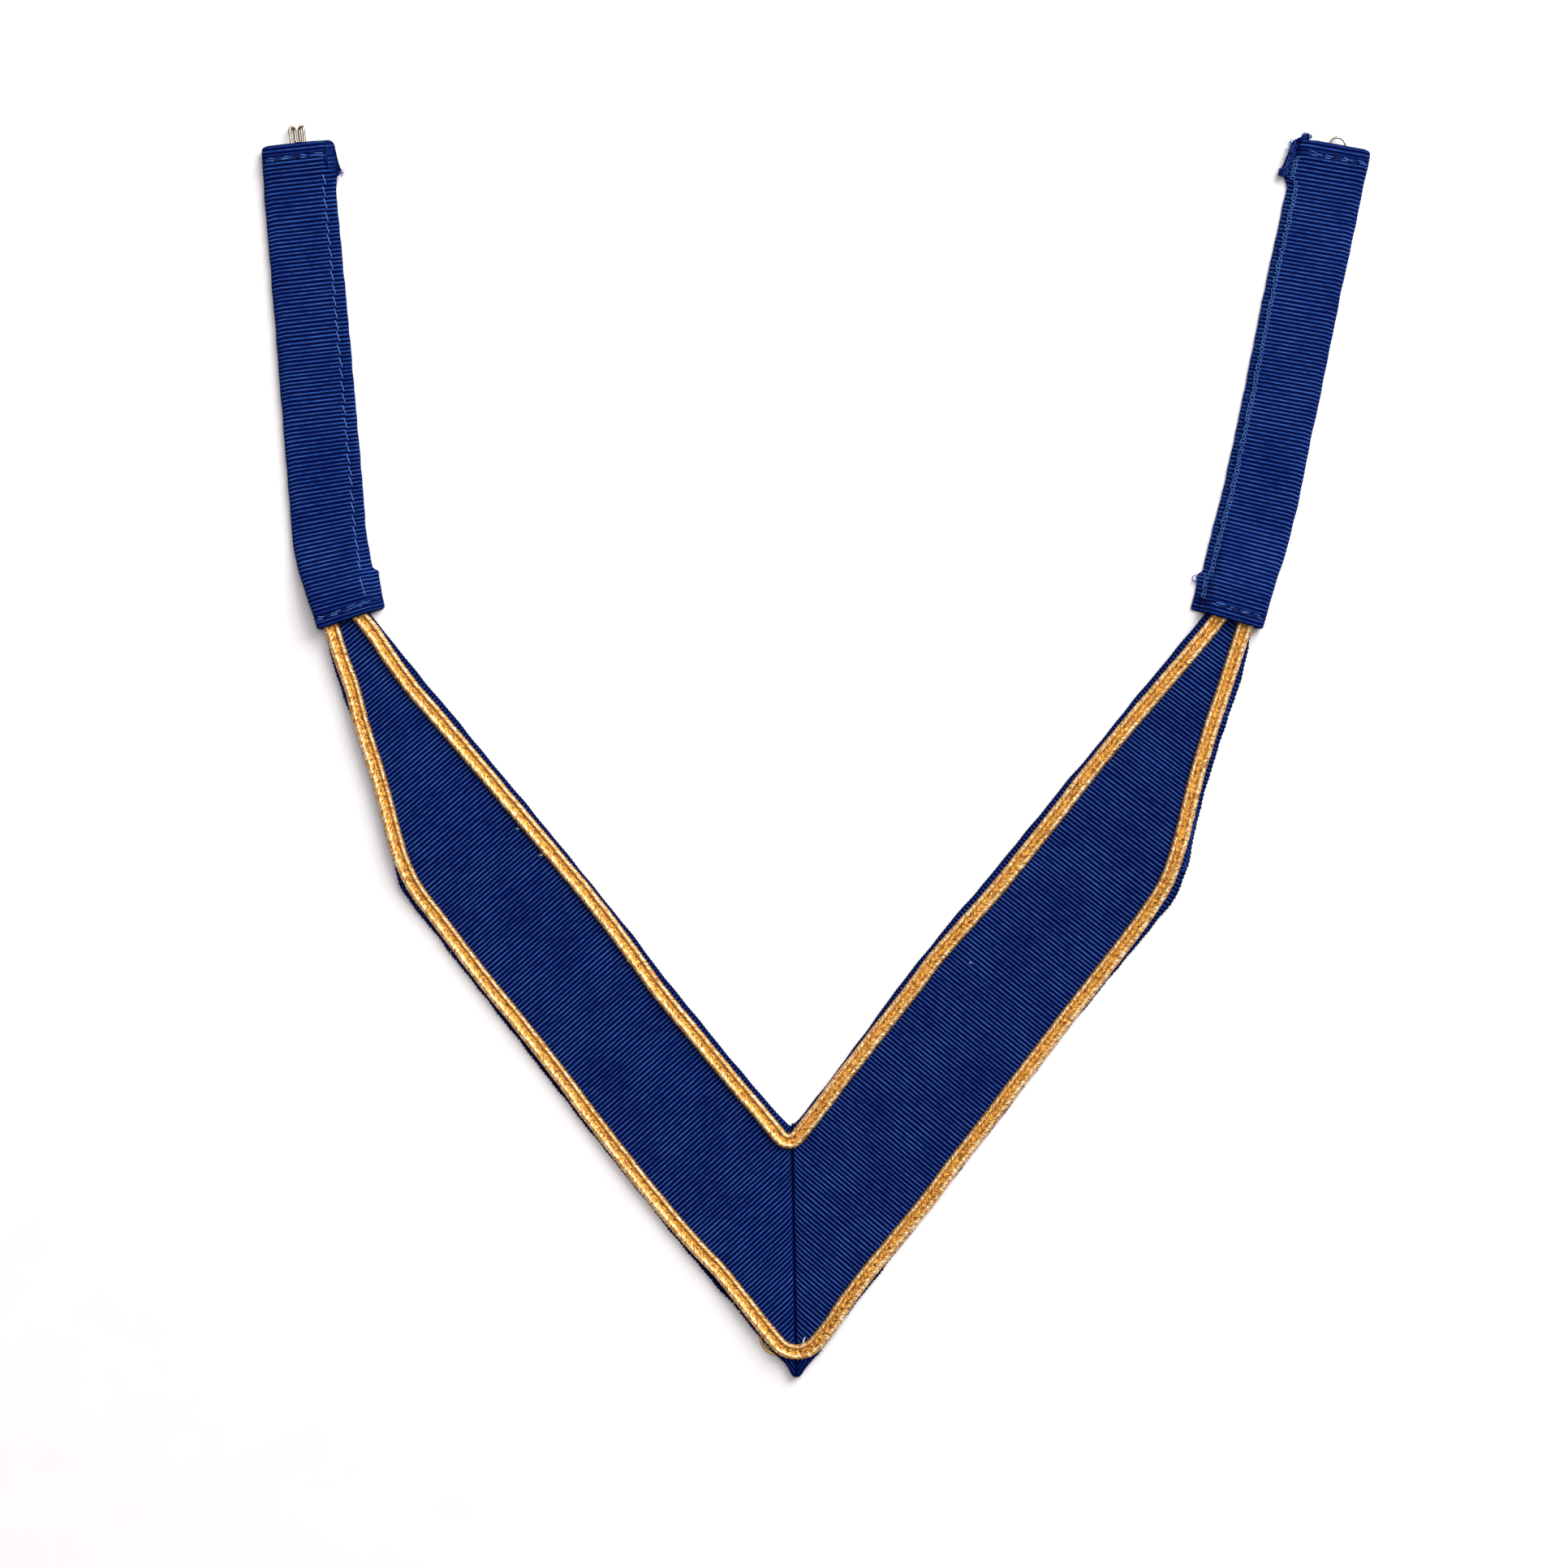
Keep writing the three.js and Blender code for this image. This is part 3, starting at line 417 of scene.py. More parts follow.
# Rows for a stretch of ribbon: rib after rib with slightly uneven pitch. Returns the distance of each row
# and the height of the rib's section there: a sine squared, one on the crest and nought in the groove.
def ribRows(start, end, seed):
    rng = np.random.default_rng(seed)
    count = int(round((end - start) / ribbon["ribPitch"]))
    widths = 1 + 0.07 * rng.standard_normal(count).clip(-1.5, 1.5)
    marks = np.concatenate([[0], np.cumsum(widths)])
    marks = start + marks / marks[-1] * (end - start)
    phase = np.linspace(0, count, count * ribbon["ribSamples"] + 1)
    distance = np.interp(phase, np.arange(count + 1), marks)
    crest = np.sin(np.pi * phase) ** 2
    return distance, crest


# offset of an arm's inner edge (column 1) or outer edge (column 2) at a distance along it
def armEdge(arm, distance, column):
    return look(arm["edges"], distance / armLength, column) * ribbon["width"]


# heights of the arm's underside: the turned edge, the strap's layer and the ring lift it
def undersideAt(arm, along, offset):
    share = along / armLength
    inner, outer = armEdge(arm, along, 1), armEdge(arm, along, 2)
    hemLine = np.maximum(outer - hemWidth, (inner + outer) / 2)
    innerLift = look(armLift, share, 1) * layerLift
    outerLift = look(armLift, share, 2) * layerLift + look(armLift, share, 3) * pointLift
    across = np.clip((offset - inner) / (hemLine - inner), 0, 1)
    return innerLift + (outerLift - innerLift) * across


# a ring that goes out along one face of the cloth and back along the other
def bothFaces(over, under):
    return np.concatenate([over, under[:, ::-1]], axis=1)


# A piece of cloth from its middle surface: the places of the middle, the direction that is square to it,
# and how far the two faces stand off on either side.
def clothPiece(name, middle, square, halfOver, halfUnder, rib, uv):
    points = bothFaces(middle + square * halfOver[..., None], middle - square * halfUnder[..., None])
    return loftMesh(name, points, {"rib": bothFaces(rib, rib)}, bothFaces(uv, uv))


# cloth coordinates in millimetres / 100: across the ribbon and along it
def clothUv(across, distance):
    return np.stack(np.broadcast_arrays(across, distance[:, None]), -1) * 0.01


# direction square to a section of offsets and heights, on the left of its run
def squareTo(section):
    tangent = np.gradient(section, axis=1)
    tangent /= np.linalg.norm(tangent, axis=2, keepdims=True) + 1e-9
    return np.stack([-tangent[..., 1], tangent[..., 0]], -1)


# a section set out in space: from a corner, so far up along the piece and its offsets outwards
def setOut(corner, up, out, along, section, normal):
    offset = section[..., 0]
    middle = np.stack([corner[0] + along * up[0] + offset * out[0],
                       corner[1] + along * up[1] + offset * out[1], section[..., 1]], -1)
    square = np.stack([normal[..., 0] * out[0], normal[..., 0] * out[1], normal[..., 1]], -1)
    return middle, square


armDetail = dict(
    seamGap=-0.03,          # between the two arms at the mitre
    seamBend=(0.5, 1.1),    # how far the ribs are drawn up along the seam, at the point and at the V
    seamBendAt=(-40, -5),   # where along the arm these two hold
    seamReach=0.75,         # how far from the seam it is felt
    seamStart=(-14, 2),     # it sets in over this stretch, counted down from the corner of the V
    seamDip=0.4,            # how deep the cloth rolls into the seam
    seamShade=0.42,         # width of the dark line along it
    selvedge=0.45,          # width of the plain woven edge
    scallop=0.12,           # rib ends along the inner selvedge
    ragged=0.2,             # and along the outer one, which is painted darker towards the point as shade
    softRows=12,            # the edges' corners are eased over this many rows on each side
    innerWander=0.12, outerWander=0.16,     # how far the edges leave their lines
    wave=0.16,              # of the cloth between its edges
    leastWidth=0.35,        # a rib at the tip that is shorter is left out
    tipNarrow=1.6, tipNarrowAt=(39.5, 42.5),    # the point folds cover the tip, so it draws in
    tipSink=0.6, tipSinkAt=(41.0, 43.0),        # and sinks into them
    shadeFrom=90, shadeTo=30,     # the outer edge is painted darker as shade between these distances
    across=(0, 0.2, 0.45, 0.9, 1.6, 2.5, 4.0, 6.5, 9.5, 13, 16.5, 20, 23.5, 27, 30.5, 33.5, 36, 37.5,
            38.3, 38.8, 39),
)


# The arm is a grid: rows follow the ribs, columns run from the neck edge (or the seam, below the corner of
# the V) to the outer edge. Rows are slanted by the difference between the rib angle and the arm's lean.
def makeArm(name, arm, seed):
    up, out = directions(arm["side"], arm["lean"])
    distance, crest = ribRows(arm["tipAt"], armLength, seed)
    slant = np.tan(np.radians(arm["lean"] - look(arm["ribAngle"], distance, 1)))
    middleOffset = ribbon["width"] / 2
    inner = soften(armEdge(arm, distance, 1), armDetail["softRows"])
    outer = soften(armEdge(arm, distance, 2), armDetail["softRows"])
    inner = inner + armDetail["innerWander"] * wander(distance, 23, seed)
    inner = inner - armDetail["scallop"] * (crest - 0.5)
    frayed = armDetail["ragged"] * (crest - 0.5) * (1 + 1.6 * wander(distance, 2.7, seed + 3))
    outer = outer + armDetail["outerWander"] * wander(distance, 17, seed + 1) + frayed
    outer = outer - armDetail["tipNarrow"] * ease(-distance, *armDetail["tipNarrowAt"])
    # where a row meets the seam: solve side * (x + y * slope) = gap for the offset
    base = distance - middleOffset * slant
    constant = arm["side"] * (up[0] * base + up[1] * base * seamSlope)
    perOffset = arm["side"] * ((up[0] * slant + out[0]) + (up[1] * slant + out[1]) * seamSlope)
    seamOffset = (armDetail["seamGap"] - constant) / perOffset
    kept = outer - seamOffset > armDetail["leastWidth"]
    inner = np.maximum(inner, seamOffset)
    distance, crest, slant, inner, outer, seamOffset = (
        row[kept] for row in (distance, crest, slant, inner, outer, seamOffset))
    share = np.array(armDetail["across"]) / armDetail["across"][-1]
    offset = inner[:, None] + (outer - inner)[:, None] * share
    along = distance[:, None] + (offset - middleOffset) * slant[:, None]
    fromSeam = offset - seamOffset[:, None]
    alongSeam = ease(-distance, *armDetail["seamStart"])[:, None]
    nearSeam = np.exp(-np.clip(fromSeam, 0, 40) / armDetail["seamReach"]) * alongSeam
    bend = nearSeam * np.interp(distance, armDetail["seamBendAt"], armDetail["seamBend"])[:, None]
    x = vCorner[0] + along * up[0] + offset * out[0] - bend * seamSlope
    y = vCorner[1] + along * up[1] + offset * out[1] + bend
    lift = undersideAt(arm, along, offset)
    slow = (1 + wander(distance, 41, seed + 2)) * ease(distance, 0, 30)
    wave = armDetail["wave"] * slow[:, None] * np.sin(share * np.pi)
    sunk = armDetail["tipSink"] * ease(-distance, *armDetail["tipSinkAt"])[:, None]
    groove = ribbon["ribDepth"] * (1 - crest)[:, None]
    top = lift + ribbon["thickness"] - groove + wave - sunk
    bottom = lift + 0.6 * groove + wave - sunk
    edge = np.minimum(offset - inner[:, None], outer[:, None] - offset)
    rounding = 0.3 + 0.7 * np.sqrt(np.clip(edge / ribbon["edgeRound"], 0, 1))
    middleZ = (top + bottom) / 2
    half = (top - bottom) / 2 * rounding
    middleZ = np.maximum(middleZ - armDetail["seamDip"] * nearSeam, half + 0.02)
    middle = np.stack([x, y, middleZ], -1)
    square = np.broadcast_to(np.array([0, 0, 1.0]), middle.shape)
    # painted shade along the seam; the ribs fade out in the selvedges, and the outer edge is painted darker
    # towards the point as shade
    dark = np.exp(-(np.clip(fromSeam, 0, 9) / armDetail["seamShade"])**3) * alongSeam
    innerEdge = np.exp(-np.clip(edge, 0, 9) / armDetail["selvedge"]) * (1 - alongSeam)
    # painted shade on the outer edge, deeper towards the point; elsewhere the selvedges only lose their
    # ribs
    towardsPoint = 1 - ease(distance, armDetail["shadeTo"], armDetail["shadeFrom"])[:, None]
    outerEdge = np.exp(-(np.clip(outer[:, None] - offset, 0, 9) / (0.5 + 0.7 * towardsPoint))**2)
    faint = np.maximum(0.5 * innerEdge, (0.5 + 0.45 * towardsPoint) * outerEdge)
    rib = crest[:, None] * (1 - dark) * (1 - faint)
    return clothPiece(name, middle, square, half, half, rib, clothUv(offset, distance))


hemDetail = dict(
    start=0.615, whole=0.67, end=0.97,  # shares of the arm's length; it widens from start to whole
    width=7.0, least=0.6,
    clear=2.0,              # it stays this far from the arm's neck edge
)


# The outer edge turned under along the taper: a strip that folds round the edge and lies below the arm.
def makeHem(name, arm, seed):
    up, out = directions(arm["side"], arm["lean"])
    distance, crest = ribRows(hemDetail["start"] * armLength, hemDetail["end"] * armLength, seed)
    slant = np.tan(np.radians(arm["lean"] - look(arm["ribAngle"], distance, 1)))
    outer = soften(armEdge(arm, distance, 2), armDetail["softRows"])
    outer = outer + armDetail["outerWander"] * wander(distance, 17, seed + 1)
    radius = undersideAt(arm, distance, outer) / 2
    widening = ease(distance, hemDetail["start"] * armLength, hemDetail["whole"] * armLength)
    width = np.minimum(hemDetail["width"] * widening + hemDetail["least"], outer - hemDetail["clear"])
    turn = np.linspace(0, np.pi, 9)
    halfCloth = ribbon["thickness"] / 2
    arc = np.stack([(outer - radius - halfCloth)[:, None] + np.sin(turn) * radius[:, None],
                    halfCloth + radius[:, None] * (1 + np.cos(turn))], -1)
    flap = np.stack([(outer - radius - halfCloth)[:, None] - np.linspace(0.12, 1, 7) * width[:, None],
                     np.broadcast_to(halfCloth, (len(outer), 7))], -1)
    section = np.concatenate([arc, flap], axis=1)
    along = distance[:, None] + (section[..., 0] - ribbon["width"] / 2) * slant[:, None]
    middle, square = setOut(vCorner, up, out, along, section, squareTo(section))
    count = section.shape[1]
    ends = np.minimum(np.arange(count), np.arange(count)[::-1])
    rounding = np.where(ends == 0, 0.4, 1.0)
    half = (halfCloth - ribbon["ribDepth"] * 0.5 * (1 - crest))[:, None] * rounding
    rib = np.broadcast_to(crest[:, None], half.shape)
    return clothPiece(name, middle, square, half, half, rib, clothUv(np.arange(count) * 0.6, distance))


for sideName, arm, seed in (("left", leftArm, 11), ("right", rightArm, 31)):
    piece = makeArm(sideName + "Arm", arm, seed)
    place(piece, ribbonMaterial, "ribbon", [sideName + "_front_ribbon"])
    hem = place(makeHem(sideName + "ArmHem", arm, seed), ribbonMaterial, "ribbon")
print("arms made")


strapDetail = dict(
    width=18.5,
    foldRadius=1.1,
    foldReach=1.8,      # width over which the ribs droop towards the fold
    foldDroop=0.45,
    stitchIn=2.75,      # the left strap's stitch line, from its selvedge
    stitchPull=0.3,     # how deep it pulls the cloth in
    stitchDrag=0.3,     # how far the cloth outside it is dragged down
    hemAt=2.9,          # rows of stitches, from the ends
    topCorner=1.5, footCorner=0.6,
    endReach=5.0,       # the rows turn from the cut ends to the ribs over this distance
    skewReach=0.125,    # the ends' slopes fade over this share of the length
    scallop=0.04,
    pocketRise=2.9,     # of the upper layer where the arm goes in
    fittingRise=0.9, fittingReach=4.4,      # and where hook or eye are sewn in
    lower=(0, 0.02, 0.06, 0.14, 0.3, 0.5, 0.7, 0.86, 0.95, 1.0),    # columns, as shares
    # columns of the upper layer, from the fold to the selvedge
    upper=(15.6, 14.6, 13.0, 11.0, 9.0, 7.0, 5.0, 3.7, 3.15, 2.75, 2.35, 1.9, 1.2, 0.6, 0.25, 0),
)
# share of the tuck, share of the pocket's rise
pocket = np.array([(0.0, 1), (0.65, 1), (1.2, 0.55), (1.9, 0)])


# the middle of a strap's foot, and its directions up and outwards
def strapPlaces(arm):
    armUp, armOut = directions(arm["side"], arm["lean"])
    foot = vCorner + armUp * (armLength - arm["tuck"]) + armOut * arm["footInset"] * ribbon["width"]
    up, out = directions(arm["side"], arm["strapLean"])
    return foot, up, out


# height of the hollow between the two layers of a strap
def hollowAt(arm, distance):
    nearTop = np.clip(2 - (arm["strapLength"] - distance) / strapDetail["fittingReach"], 0, 1)
    overArm = look(pocket, np.clip(distance / arm["tuck"], 0, 5), 1)
    return layerLift + overArm * strapDetail["pocketRise"] + strapDetail["fittingRise"] * nearTop


# offset of a strap's folded edge (column 1) or selvedge (column 2) at a distance from its foot
def strapEdge(arm, distance, column):
    return look(arm["strapEdges"], distance / arm["strapLength"], column) * strapDetail["width"]


# point on the upper face of a strap, at a distance from its foot and an offset from its middle line
def onStrap(arm, distance, offset, above=0.0):
    foot, up, out = strapPlaces(arm)
    distance, offset = np.broadcast_arrays(np.asarray(distance, float), np.asarray(offset, float))
    selvedge = strapEdge(arm, distance, 2) + arm["underShow"]
    hollow = hollowAt(arm, distance)
    rise = ease(offset, selvedge + 0.6, selvedge + arm["pocketSlope"] * strapDetail["width"])
    z = layerLift + (hollow - layerLift) * rise + ribbon["thickness"] + above
    xy = foot + distance[..., None] * up + offset[..., None] * out
    return np.concatenate([xy, z[..., None]], axis=-1)


# how far a rounded corner has drawn back at a distance from the end
def cornerInset(fromEnd, radius):
    return radius - np.sqrt(np.maximum(radius**2 - np.clip(radius - fromEnd, 0, radius)**2, 0))


# A strap is one ribbon folded lengthwise: out along the table, round the fold and back over itself.
def makeStrap(name, arm, seed):
    foot, up, out = strapPlaces(arm)
    length = arm["strapLength"]
    distance, crest = ribRows(0, length, seed)
    share = distance / length
    ends = np.clip(1 - distance / strapDetail["endReach"], 0, 1)
    ends = np.maximum(ends, np.clip(1 - (length - distance) / strapDetail["endReach"], 0, 1))
    fromEnd = np.minimum(distance, length - distance)
    fold = soften(strapEdge(arm, distance, 1), 9) + 0.1 * wander(distance, 19, seed)
    under = soften(strapEdge(arm, distance, 2), 3) + 0.1 * wander(distance, 13, seed + 1)
    fold = fold + strapDetail["scallop"] * (crest - 0.5)
    under = under - strapDetail["scallop"] * (crest - 0.5)
    drawnTop = cornerInset(length - distance, strapDetail["topCorner"])
    drawnFoot = cornerInset(distance, strapDetail["footCorner"])
    fold = fold - 0.5 * drawnTop - drawnFoot
    under = under + drawnTop + drawnFoot
    over = under + arm["underShow"]
    hollow = hollowAt(arm, distance)
    halfCloth = ribbon["thickness"] / 2
    radius = np.minimum(hollow / 2, strapDetail["foldRadius"])
    inside = fold - halfCloth - radius
    lower = np.array(strapDetail["lower"])
    bottom = np.stack([under[:, None] + (inside - under)[:, None] * lower,
                       np.broadcast_to(halfCloth, (len(distance), len(lower)))], -1)
    turn = np.linspace(0, np.pi / 2, 5)[1:]
    low = np.stack([inside[:, None] + radius[:, None] * np.sin(turn),
                    halfCloth + radius[:, None] * (1 - np.cos(turn))], -1)
    high = np.stack([inside[:, None] + radius[:, None] * np.cos(turn),
                     (halfCloth + hollow)[:, None] - radius[:, None] * (1 - np.sin(turn))], -1)
    upperShare = np.array(strapDetail["upper"]) / strapDetail["upper"][0]
    offsetUpper = over[:, None] + (inside - over)[:, None] * upperShare
    slopeEnd = (over + arm["pocketSlope"] * strapDetail["width"])[:, None]
    rise = ease(offsetUpper, over[:, None] + 0.6, slopeEnd)
    zUpper = layerLift + (hollow[:, None] - layerLift) * rise + halfCloth
    fromStitch = (offsetUpper - over[:, None] - strapDetail["stitchIn"]) / 0.35
    if arm["underShow"] == 0:
        zUpper = zUpper - strapDetail["stitchPull"] * np.exp(-fromStitch**2)
    top = np.stack([offsetUpper, zUpper], -1)
    section = np.concatenate([bottom, low, high, top], axis=1)
    offset = section[..., 0]
    # rows follow the ribs in the middle of the strap and the cut ends at either end
    slant = np.tan(np.radians(arm["strapLean"] - look(arm["strapRibs"], distance, 1)))
    atFoot, atTop = (np.clip(1 - part / strapDetail["skewReach"], 0, 1) for part in (share, 1 - share))
    skew = slant * (1 - ends) + (atFoot * arm["footSkew"] + atTop * arm["topSkew"]) * ends
    along = distance[:, None] + offset * skew[:, None]
    if arm["underShow"] == 0:
        outside = ease(over[:, None] + strapDetail["stitchIn"] - offset, -0.3, 0.3)
        amid = np.sin(np.pi * np.clip(share, 0.04, 0.96))[:, None]
        along = along - strapDetail["stitchDrag"] * outside * amid
    # the ribs droop where they go over the fold
    foldStart = (fold - strapDetail["foldReach"])[:, None]
    droop = ease(offset, foldStart, fold[:, None]) * ease(fromEnd, 1, 9)[:, None]
    along = along - strapDetail["foldDroop"] * droop
    middle, square = setOut(foot, up, out, along, section, -squareTo(section))
    count = section.shape[1]
    fromSide = np.minimum(np.arange(count), np.arange(count)[::-1])
    rounding = np.select([fromSide == 0, fromSide == 1], [0.4, 0.85], 1.0)
    endRound = 0.35 + 0.65 * np.sqrt(np.clip(fromEnd / 0.5, 0, 1))
    # pulled tight over the fold, the ribs stand out less
    tight = 1 - 0.6 * ease(offset, foldStart, (fold - 0.6)[:, None])
    groove = ribbon["ribDepth"] * (1 - crest)[:, None] * tight
    half = (halfCloth - 0.5 * groove) * rounding * endRound[:, None]
    hemShade = 1 - 0.3 * np.exp(-((fromEnd - strapDetail["hemAt"]) / 0.7) ** 2)
    hemShade = hemShade - 0.6 * np.exp(-fromEnd / 0.3)
    rib = np.broadcast_to((crest * hemShade)[:, None], half.shape)
    unfolded = np.concatenate([np.zeros((len(distance), 1)),
                               np.cumsum(np.linalg.norm(np.diff(section, axis=1), axis=2), axis=1)], axis=1)
    middle[..., 2] = np.maximum(middle[..., 2], half + 0.02)
    return clothPiece(name, middle, square, half, half * 0.9, rib, clothUv(unfolded, distance))


for sideName, arm, seed in (("left", leftArm, 51), ("right", rightArm, 71)):
    piece = makeStrap(sideName + "Strap", arm, seed)
    place(piece, ribbonMaterial, "ribbon", [sideName + "_strap"])
print("straps made")


braid = dict(
    width=3.9,
    height=1.45,
    step=0.15,          # between rows of points
    turnPitch=0.56,     # turns of thread along the braid
    turnAngle=42,       # of a turn to the braid's length in the middle; at the sides it is square to it
    relief=0.08,        # of the turns
    lumps=0.08,         # unevenness of the ridges
    bandWidth=0.2,      # half of the flat band, as a share of the half width
    bandMiddle=-0.05,
    bandFade=0.14,
    columns=27,         # across the upper side
    sunk=0.04,          # into the ribbon
    innerTurn=2.6, outerTurn=6.3,       # radii at the corner of the V and at the point
)
# place across and height, as shares of the half width and the height: the ridge on the neck side, a groove,
# a flat band and the other ridge
braidSection = np.array([
    (-1.0, 0.3), (-0.96, 0.5), (-0.86, 0.78), (-0.72, 0.97), (-0.58, 1.0), (-0.44, 0.88), (-0.34, 0.64),
    (-0.25, 0.5), (-0.17, 0.57), (-0.05, 0.62), (0.08, 0.6), (0.18, 0.62), (0.34, 0.88), (0.52, 1.0),
    (0.7, 0.96), (0.86, 0.76), (0.96, 0.5), (1.0, 0.3)])
# the braids' middle lines: share of the arm's length, offset as a share of the ribbon's width
innerLeft = [(0.045, 0.089), (0.09, 0.094), (0.18, 0.096), (0.26, 0.096), (0.315, 0.083), (0.37, 0.068),
             (0.43, 0.061), (0.54, 0.066), (0.65, 0.073), (0.76, 0.082), (0.81, 0.086), (0.855, 0.075),
             (0.9, 0.055), (0.965, 0.05)]
innerRight = [(0.045, 0.053), (0.09, 0.046), (0.18, 0.041), (0.26, 0.037), (0.315, 0.031), (0.37, 0.042),
              (0.43, 0.057), (0.54, 0.06), (0.65, 0.055), (0.76, 0.064), (0.81, 0.072), (0.855, 0.079),
              (0.9, 0.081), (0.965, 0.075)]
outerLeft = [(-0.18, 0.925), (-0.135, 0.92), (-0.09, 0.919), (-0.045, 0.934), (0.0, 0.943), (0.09, 0.942),
             (0.18, 0.932), (0.27, 0.913), (0.36, 0.905), (0.45, 0.9), (0.54, 0.884), (0.585, 0.874),
             (0.63, 0.826), (0.675, 0.741), (0.72, 0.645), (0.765, 0.56), (0.81, 0.479), (0.855, 0.385),
             (0.9, 0.31), (0.965, 0.19)]
outerRight = [(-0.18, 0.957), (-0.135, 0.941), (-0.09, 0.938), (0.0, 0.944), (0.045, 0.946), (0.09, 0.936),
              (0.18, 0.93), (0.27, 0.92), (0.36, 0.91), (0.45, 0.905), (0.54, 0.893), (0.585, 0.871),
              (0.63, 0.805), (0.675, 0.715), (0.72, 0.618), (0.765, 0.533), (0.81, 0.451), (0.855, 0.378),
              (0.9, 0.3), (0.965, 0.19)]


# a place on an arm: so far along it and so far out from the corner of the V
def onArm(arm, along, offset):
    up, out = directions(arm["side"], arm["lean"])
    return vCorner + np.multiply.outer(along, up) + np.multiply.outer(offset, out)


# route of a braid: up both arms, with an arc between them that is tangent to both
def braidRoute(leftRows, rightRows, radius):
    leftOut, rightOut = (directions(arm["side"], arm["lean"])[1] for arm in (leftArm, rightArm))
    reach = np.array([leftRows[0][1], rightRows[0][1]]) * ribbon["width"] - radius
    centre = np.linalg.solve(np.array([leftOut, rightOut]), reach)
    start = math.atan2(leftOut[1], leftOut[0])
    start = start - 2 * math.pi if start > 0 else start
    angle = np.linspace(start, math.atan2(rightOut[1], rightOut[0]), 9)
    turn = vCorner + centre + radius * np.stack([np.cos(angle), np.sin(angle)], -1)
    leftRows, rightRows = np.array(leftRows), np.array(rightRows)
    left = onArm(leftArm, leftRows[:, 0] * armLength, leftRows[:, 1] * ribbon["width"])
    right = onArm(rightArm, rightRows[:, 0] * armLength, rightRows[:, 1] * ribbon["width"])
    return np.vstack([left[::-1], turn, right])


# height of the arms' upper face below any point of a braid
def armTop(points):
    relative = points - vCorner
    heights = []
    for arm in (leftArm, rightArm):
        up, out = directions(arm["side"], arm["lean"])
        heights.append(undersideAt(arm, relative @ up, relative @ out))
    onRight = relative[..., 0] + relative[..., 1] * seamSlope > 0
    return np.where(onRight, heights[1], heights[0]) + ribbon["thickness"]


# The braid is its section carried along its route. Cosines of the turns raise the threads, which slant away
# from the middle on both sides; sines of the distance make the ridges uneven.
def makeBraid(name, route, seed):
    line, length = smoothPath(route, braid["step"])
    distance = np.linspace(0, length, len(line))
    seat = soften(armTop(line), 20)
    tangent = np.gradient(line, axis=0)
    tangent /= np.linalg.norm(tangent, axis=1, keepdims=True)
    across = np.stack([tangent[:, 1], -tangent[:, 0]], -1)
    t = np.concatenate([np.linspace(-1, 1, braid["columns"]), [0.82, 0.3, -0.3, -0.82]])
    upper = np.arange(len(t)) < braid["columns"]
    height = np.where(upper, np.interp(t, braidSection[:, 0], braidSection[:, 1]), 0.0)
    uneven = 0.4 * wander(distance, 2.9, seed) + 0.3 * wander(distance, 1.3, seed + 5)
    halfWidth = braid["width"] / 2
    forward = halfWidth / math.tan(math.radians(braid["turnAngle"])) / braid["turnPitch"]
    turns = (distance / braid["turnPitch"] + uneven)[:, None] - forward * (np.abs(t) - 0.45 * t**2)
    crest = 0.5 + 0.5 * np.cos(2 * np.pi * turns)
    raised = np.where(upper, np.sin(np.clip(height, 0, 1) * np.pi / 2), 0)
    lumps = np.where(t > 0, wander(distance, 3.1, seed + 7)[:, None],
                     wander(distance, 3.7, seed + 8)[:, None])
    z = height * braid["height"] + ((crest - 0.6) * braid["relief"] + lumps * braid["lumps"]) * raised
    widen = 1 + 0.03 * (crest - 0.5) * np.abs(t) + 0.02 * wander(distance, 11, seed + 2)[:, None]
    offset = t * halfWidth * widen + 0.05 * wander(distance, 31, seed + 3)[:, None]
    xy = line[:, None] + across[:, None] * offset[..., None]
    points = np.concatenate([xy, (seat[:, None] + np.maximum(z, 0) - braid["sunk"])[..., None]], -1)
    # ridge: how high up a ridge a point lies; the braid's material paints the tops lighter as highlight
    ridge = np.where(upper, np.clip((height - 0.35) / 0.65, 0, 1), 0)
    bandEnd = braid["bandWidth"] + braid["bandFade"]
    band = np.where(upper, 1 - ease(np.abs(t - braid["bandMiddle"]), braid["bandWidth"], bandEnd), 0)
    print(name, "length in mm", round(length, 1))
    return loftMesh(name, points, {"turns": turns, "across": t * halfWidth, "ridge": ridge, "band": band})


innerRoute = braidRoute(innerLeft, innerRight, braid["innerTurn"])
outerRoute = braidRoute(outerLeft, outerRight, braid["outerTurn"])
for edgeName, route, seed in (("inner", innerRoute, 91), ("outer", outerRoute, 95)):
    place(makeBraid(edgeName + "Braid", route, seed), braidMaterial, "braid", [edgeName + "_braid"])
print("braids made")


fitting = dict(
    wire=0.6,
    shownHook=0.34, shownEye=0.29,      # radii with the plating, as they show
    loopRadius=1.1, loopDepth=2.7,      # the sewing loops inside the strap
    reach=4.45, width=4.0, billGap=0.5,
    eyeRadius=1.9, eyeOffset=1.2,       # the eye sits towards the fold
    hookSteps=240, eyeSteps=200, sides=16,
)
wireHeight = layerLift + fitting["wire"] / 2


# half of a sewing loop inside the strap that runs into a leg
def sewingLoop(leg):
    angle = np.linspace(-1.5 * np.pi, 0, 9)
    right = leg + fitting["loopRadius"] * (1 - np.cos(angle))
    down = fitting["loopRadius"] * np.sin(angle) - fitting["loopDepth"]
    return np.stack([right, down, np.full(len(angle), wireHeight)], -1)


# a whole wire from its half and the mirrored half, set at the strap's top
def fittingPath(arm, half, shift, count):
    foot, up, out = strapPlaces(arm)
    whole = np.vstack([half, half[::-1] * np.array([-1, 1, 1])])
    xy = foot + (arm["strapLength"] + whole[:, 1:2]) * up + (whole[:, :1] + shift) * out
    return smoothPath(np.hstack([xy, whole[:, 2:]]), count)[0]


